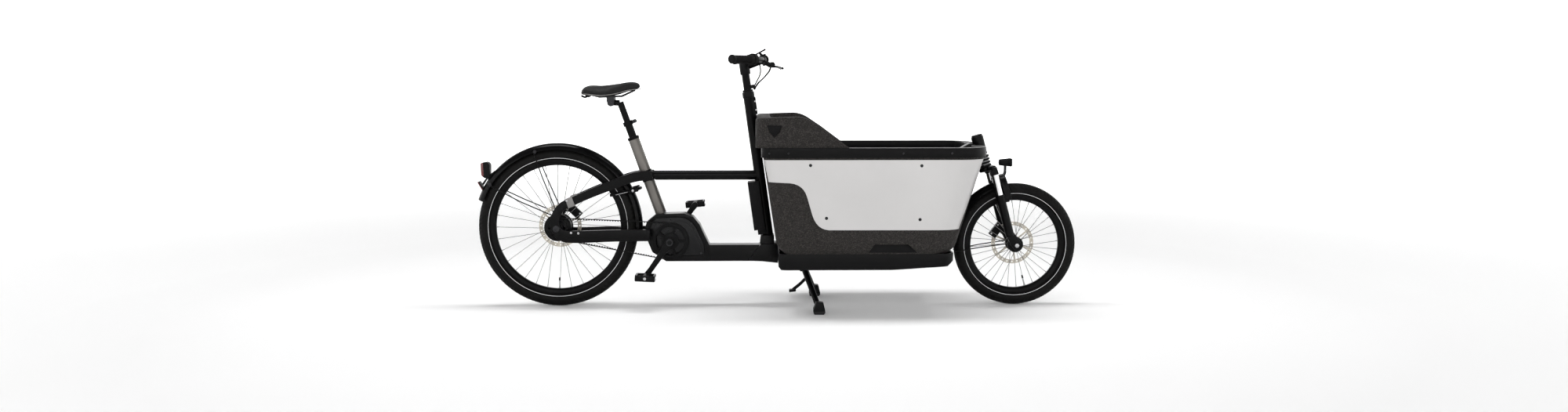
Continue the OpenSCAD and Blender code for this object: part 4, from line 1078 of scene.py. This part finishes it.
legs = []
leg = turned([(0.01, -316), (14, -317), (17.6, -312), (18.2, -300), (18.5, -230), (18.3, -150), (18.9, -146),
              (19.9, -144), (19.9, -136), (18.6, -134.4), (15.1, -134.4), (15.1, -150), (0.01, -262)], 40)
dropout = rounded([(6, -296), (40, -296), (60, -352), (56, -378), (30, -382), (20, -360)], 8)
for s in SIDES:
    legs.append(placed(leg, moved(23, s * 66, 0) @ UPRIGHT))
    legs.append(prism(dropout, *sorted((s * 50.5, s * 65.5))))
piece("fork_legs", legs, M["frame"], "fork_lower", FORK, ["fork_lowers"], bevel=1.2)
outer = [(66, -166), (64, -120), (55, -86), (38, -66), (14, -59)]
inner = [(50, -166), (49, -122), (43, -96), (31, -80), (12, -75)]
hoop = []
for half, way in ((outer, 1), (inner, -1)):
    run = [(way * y, z, 0) for y, z in half] + [(-way * y, z, 0) for y, z in reversed(half)]
    hoop += [(p.x, p.y) for p in smooth(run, 4)]
feet = [brick((28, min(s * 50, s * 66), -172), (58, max(s * 50, s * 66), -146)) for s in SIDES]
feet.append(brick((16, -12, -83.5), (58, 12, -76)))
piece("fork_arch", [placed(prism(hoop, -69, -43.5), ACROSS)] + feet, M["frame"], "fork_lower", FORK,
      bevel=2.5)
axle = [bar((41, s * 64, -360.2), (41, s * 71, -360.2), 9.5, 6) for s in SIDES]
axle += [bar((41, -72, -360.2), (41, 72, -360.2), 5.9, 24)]
piece("front_axle_nuts", axle, M["steel"], "fork_lower", FORK, bevel=0.7)

LAMP_AXIS = Matrix.Rotation(math.radians(-90), 4, "Z")
cone = turned([(0.01, 0), (10, 0), (13, 3), (15, 22), (17, 42), (17, 44), (0.01, 44)], 40)
hood = rounded([(-22, -17), (22, -17), (22, 17), (-22, 17)], 6)
hood = placed(prism(hood, 0, 10), moved(1897, 0, 604) @ LAMP_AXIS)
piece("headlamp_shell", [placed(cone, moved(1854, 0, 604) @ LAMP_AXIS), hood], M["plastic"], "fork_lower", HERE,
      ["headlight"], bevel=1.6)
pane = rounded([(-19, -14), (19, -14), (19, 14), (-19, 14)], 5)
pane = placed(prism(pane, 0, 3), moved(1905.8, 0, 604) @ LAMP_AXIS)
piece("headlamp_lens", [pane], M["white_lens"], "fork_lower", HERE, bevel=1)
arm = rounded([(1876, 592), (1886, 592), (1886, 560), (1876, 536), (1868, 540), (1876, 566)], 3)
piece("headlamp_bracket", [prism(arm, -6, 6)], M["bolt"], "fork_lower", HERE, bevel=0.8)

# ---- stand ----

shaft = bar((1030, -103, 168), (1030, 103, 168), 10.9, 32)
limbs = []
for s in SIDES:
    route = [(1030, s * 96, 168), (1044, s * 118, 130), (1082, s * 211, 34)]
    limbs.append(tube(filleted(route, 22), 12, 20))
step_route = [(1056, 152, 98), (1020, 186, 56), (990, 192, 31)]
limbs.append(tube(filleted(step_route, 16), 7, 16))
piece("stand_legs", [shaft] + limbs, M["frame"], "kickstand", HERE, ["kickstand"])
SHOE = rounded([(1066, 9), (1108, 9), (1112, 14), (1104, 48), (1074, 52), (1062, 18)], 4)
SOLE = rounded([(1066, 0.2), (1106, 0.2), (1112.5, 10), (1110, 13), (1064, 13), (1063, 10)], 3)
piece("stand_shoes", [prism(SHOE, *sorted((s * 205, s * 249))) for s in SIDES], M["plastic"], "kickstand", HERE,
      bevel=3)
piece("stand_soles", [prism(SOLE, *sorted((s * 203.5, s * 250.5))) for s in SIDES], M["elastomer"],
      "kickstand", HERE, bevel=1.5)
plate = [(974, 22), (1004, 26), (1004, 36), (974, 34)]
piece("stand_step", [prism(rounded(plate, 3), 176, 208)], M["frame"], "kickstand", HERE, bevel=1.2)
cleats = [bar((x, 179, z), (x, 205, z), 1.3, 8) for x, z in ((980, 34.6), (988, 35.1), (996, 35.8))]
piece("stand_step_cleats", cleats, M["bolt"], "kickstand", HERE)

# ---- stage, light and camera ----

# The paper's own light near the bicycle and far from it, so that it stays pale where the lamps fade
FLOOR_GLOW, WALL_GLOW = 0.03, 0.86


def stage():
    """A pale round floor that curves up into a wall far outside every view's camera."""
    profile = [(0, 0), (3, 0), (6, 0), (11, 0)]
    profile += [(11 + 4 * math.sin(math.radians(a)), 4 - 4 * math.cos(math.radians(a))) for a in range(9, 91, 9)]
    profile += [(15, 9)]
    steps = 96
    verts = [(r * math.cos(2 * math.pi * k / steps), r * math.sin(2 * math.pi * k / steps), z)
             for r, z in profile for k in range(steps)]
    faces = [(i * steps + k, i * steps + (k + 1) % steps, (i + 1) * steps + (k + 1) % steps, (i + 1) * steps + k)
             for i in range(len(profile) - 1) for k in range(steps)]
    mesh = bpy.data.meshes.new("studio_floor")
    bm = bmesh.new()
    made = [bm.verts.new(v) for v in verts]
    for f in faces:
        bm.faces.new([made[i] for i in f])
    bmesh.ops.remove_doubles(bm, verts=bm.verts, dist=1e-5)
    shade(mesh, bm, 60)
    mat, tree, shader, place = new_material("studio_paper")
    pale = ramp(tree, noise(tree, place, 0.6), [(0.3, (0.9, 0.9, 0.9)), (0.7, (0.92, 0.92, 0.92))])
    tree.links.new(pale, shader.inputs["Base Color"])
    shader.inputs["Roughness"].default_value = 0.9
    shader.inputs["Specular IOR Level"].default_value = 0.1
    shader.inputs["Emission Color"].default_value = (1, 1, 1, 1)
    distance = tree.nodes.new("ShaderNodeVectorMath")
    distance.operation = "LENGTH"
    tree.links.new(place, distance.inputs[0])
    tree.links.new(span(tree, distance.outputs["Value"], FLOOR_GLOW, WALL_GLOW, 2.5, 9.0),
                   shader.inputs["Emission Strength"])
    mesh.materials.append(mat)
    obj = bpy.data.objects.new("studio_floor", mesh)
    bpy.context.scene.collection.objects.link(obj)


def softbox(name, place, target, size, power):
    data = bpy.data.lights.new(name, "AREA")
    data.shape = "RECTANGLE"
    data.size, data.size_y = size
    data.energy = power
    obj = bpy.data.objects.new(name, data)
    obj.location = place
    obj.rotation_euler = (Vector(target) - Vector(place)).to_track_quat("-Z", "Y").to_euler()
    bpy.context.scene.collection.objects.link(obj)


def studio():
    world = bpy.data.worlds.new("studio_world")
    world.use_nodes = True
    background = world.node_tree.nodes["Background"]
    background.inputs["Color"].default_value = (1, 1, 1, 1)
    background.inputs["Strength"].default_value = 0.14
    bpy.context.scene.world = world
    softbox("light_top", (0, 0.2, 4.0), (0, 0, 0.4), (4.6, 0.8), 125)
    softbox("light_front", (-1.5, -5.0, 3.2), (0, 0, 0.5), (3.0, 1.2), 26)


def camera():
    data = bpy.data.cameras.new("photo_view")
    data.lens = 30.65
    data.sensor_width = 36
    obj = bpy.data.objects.new("photo_view", data)
    obj.location = (-0.0843, -5.6013, 0.9855)
    obj.rotation_euler = (math.pi / 2 - 0.1005, 0, -0.0199)
    bpy.context.scene.collection.objects.link(obj)
    bpy.context.scene.camera = obj
    bpy.context.scene.view_settings.view_transform = "Standard"


stage()
studio()
camera()
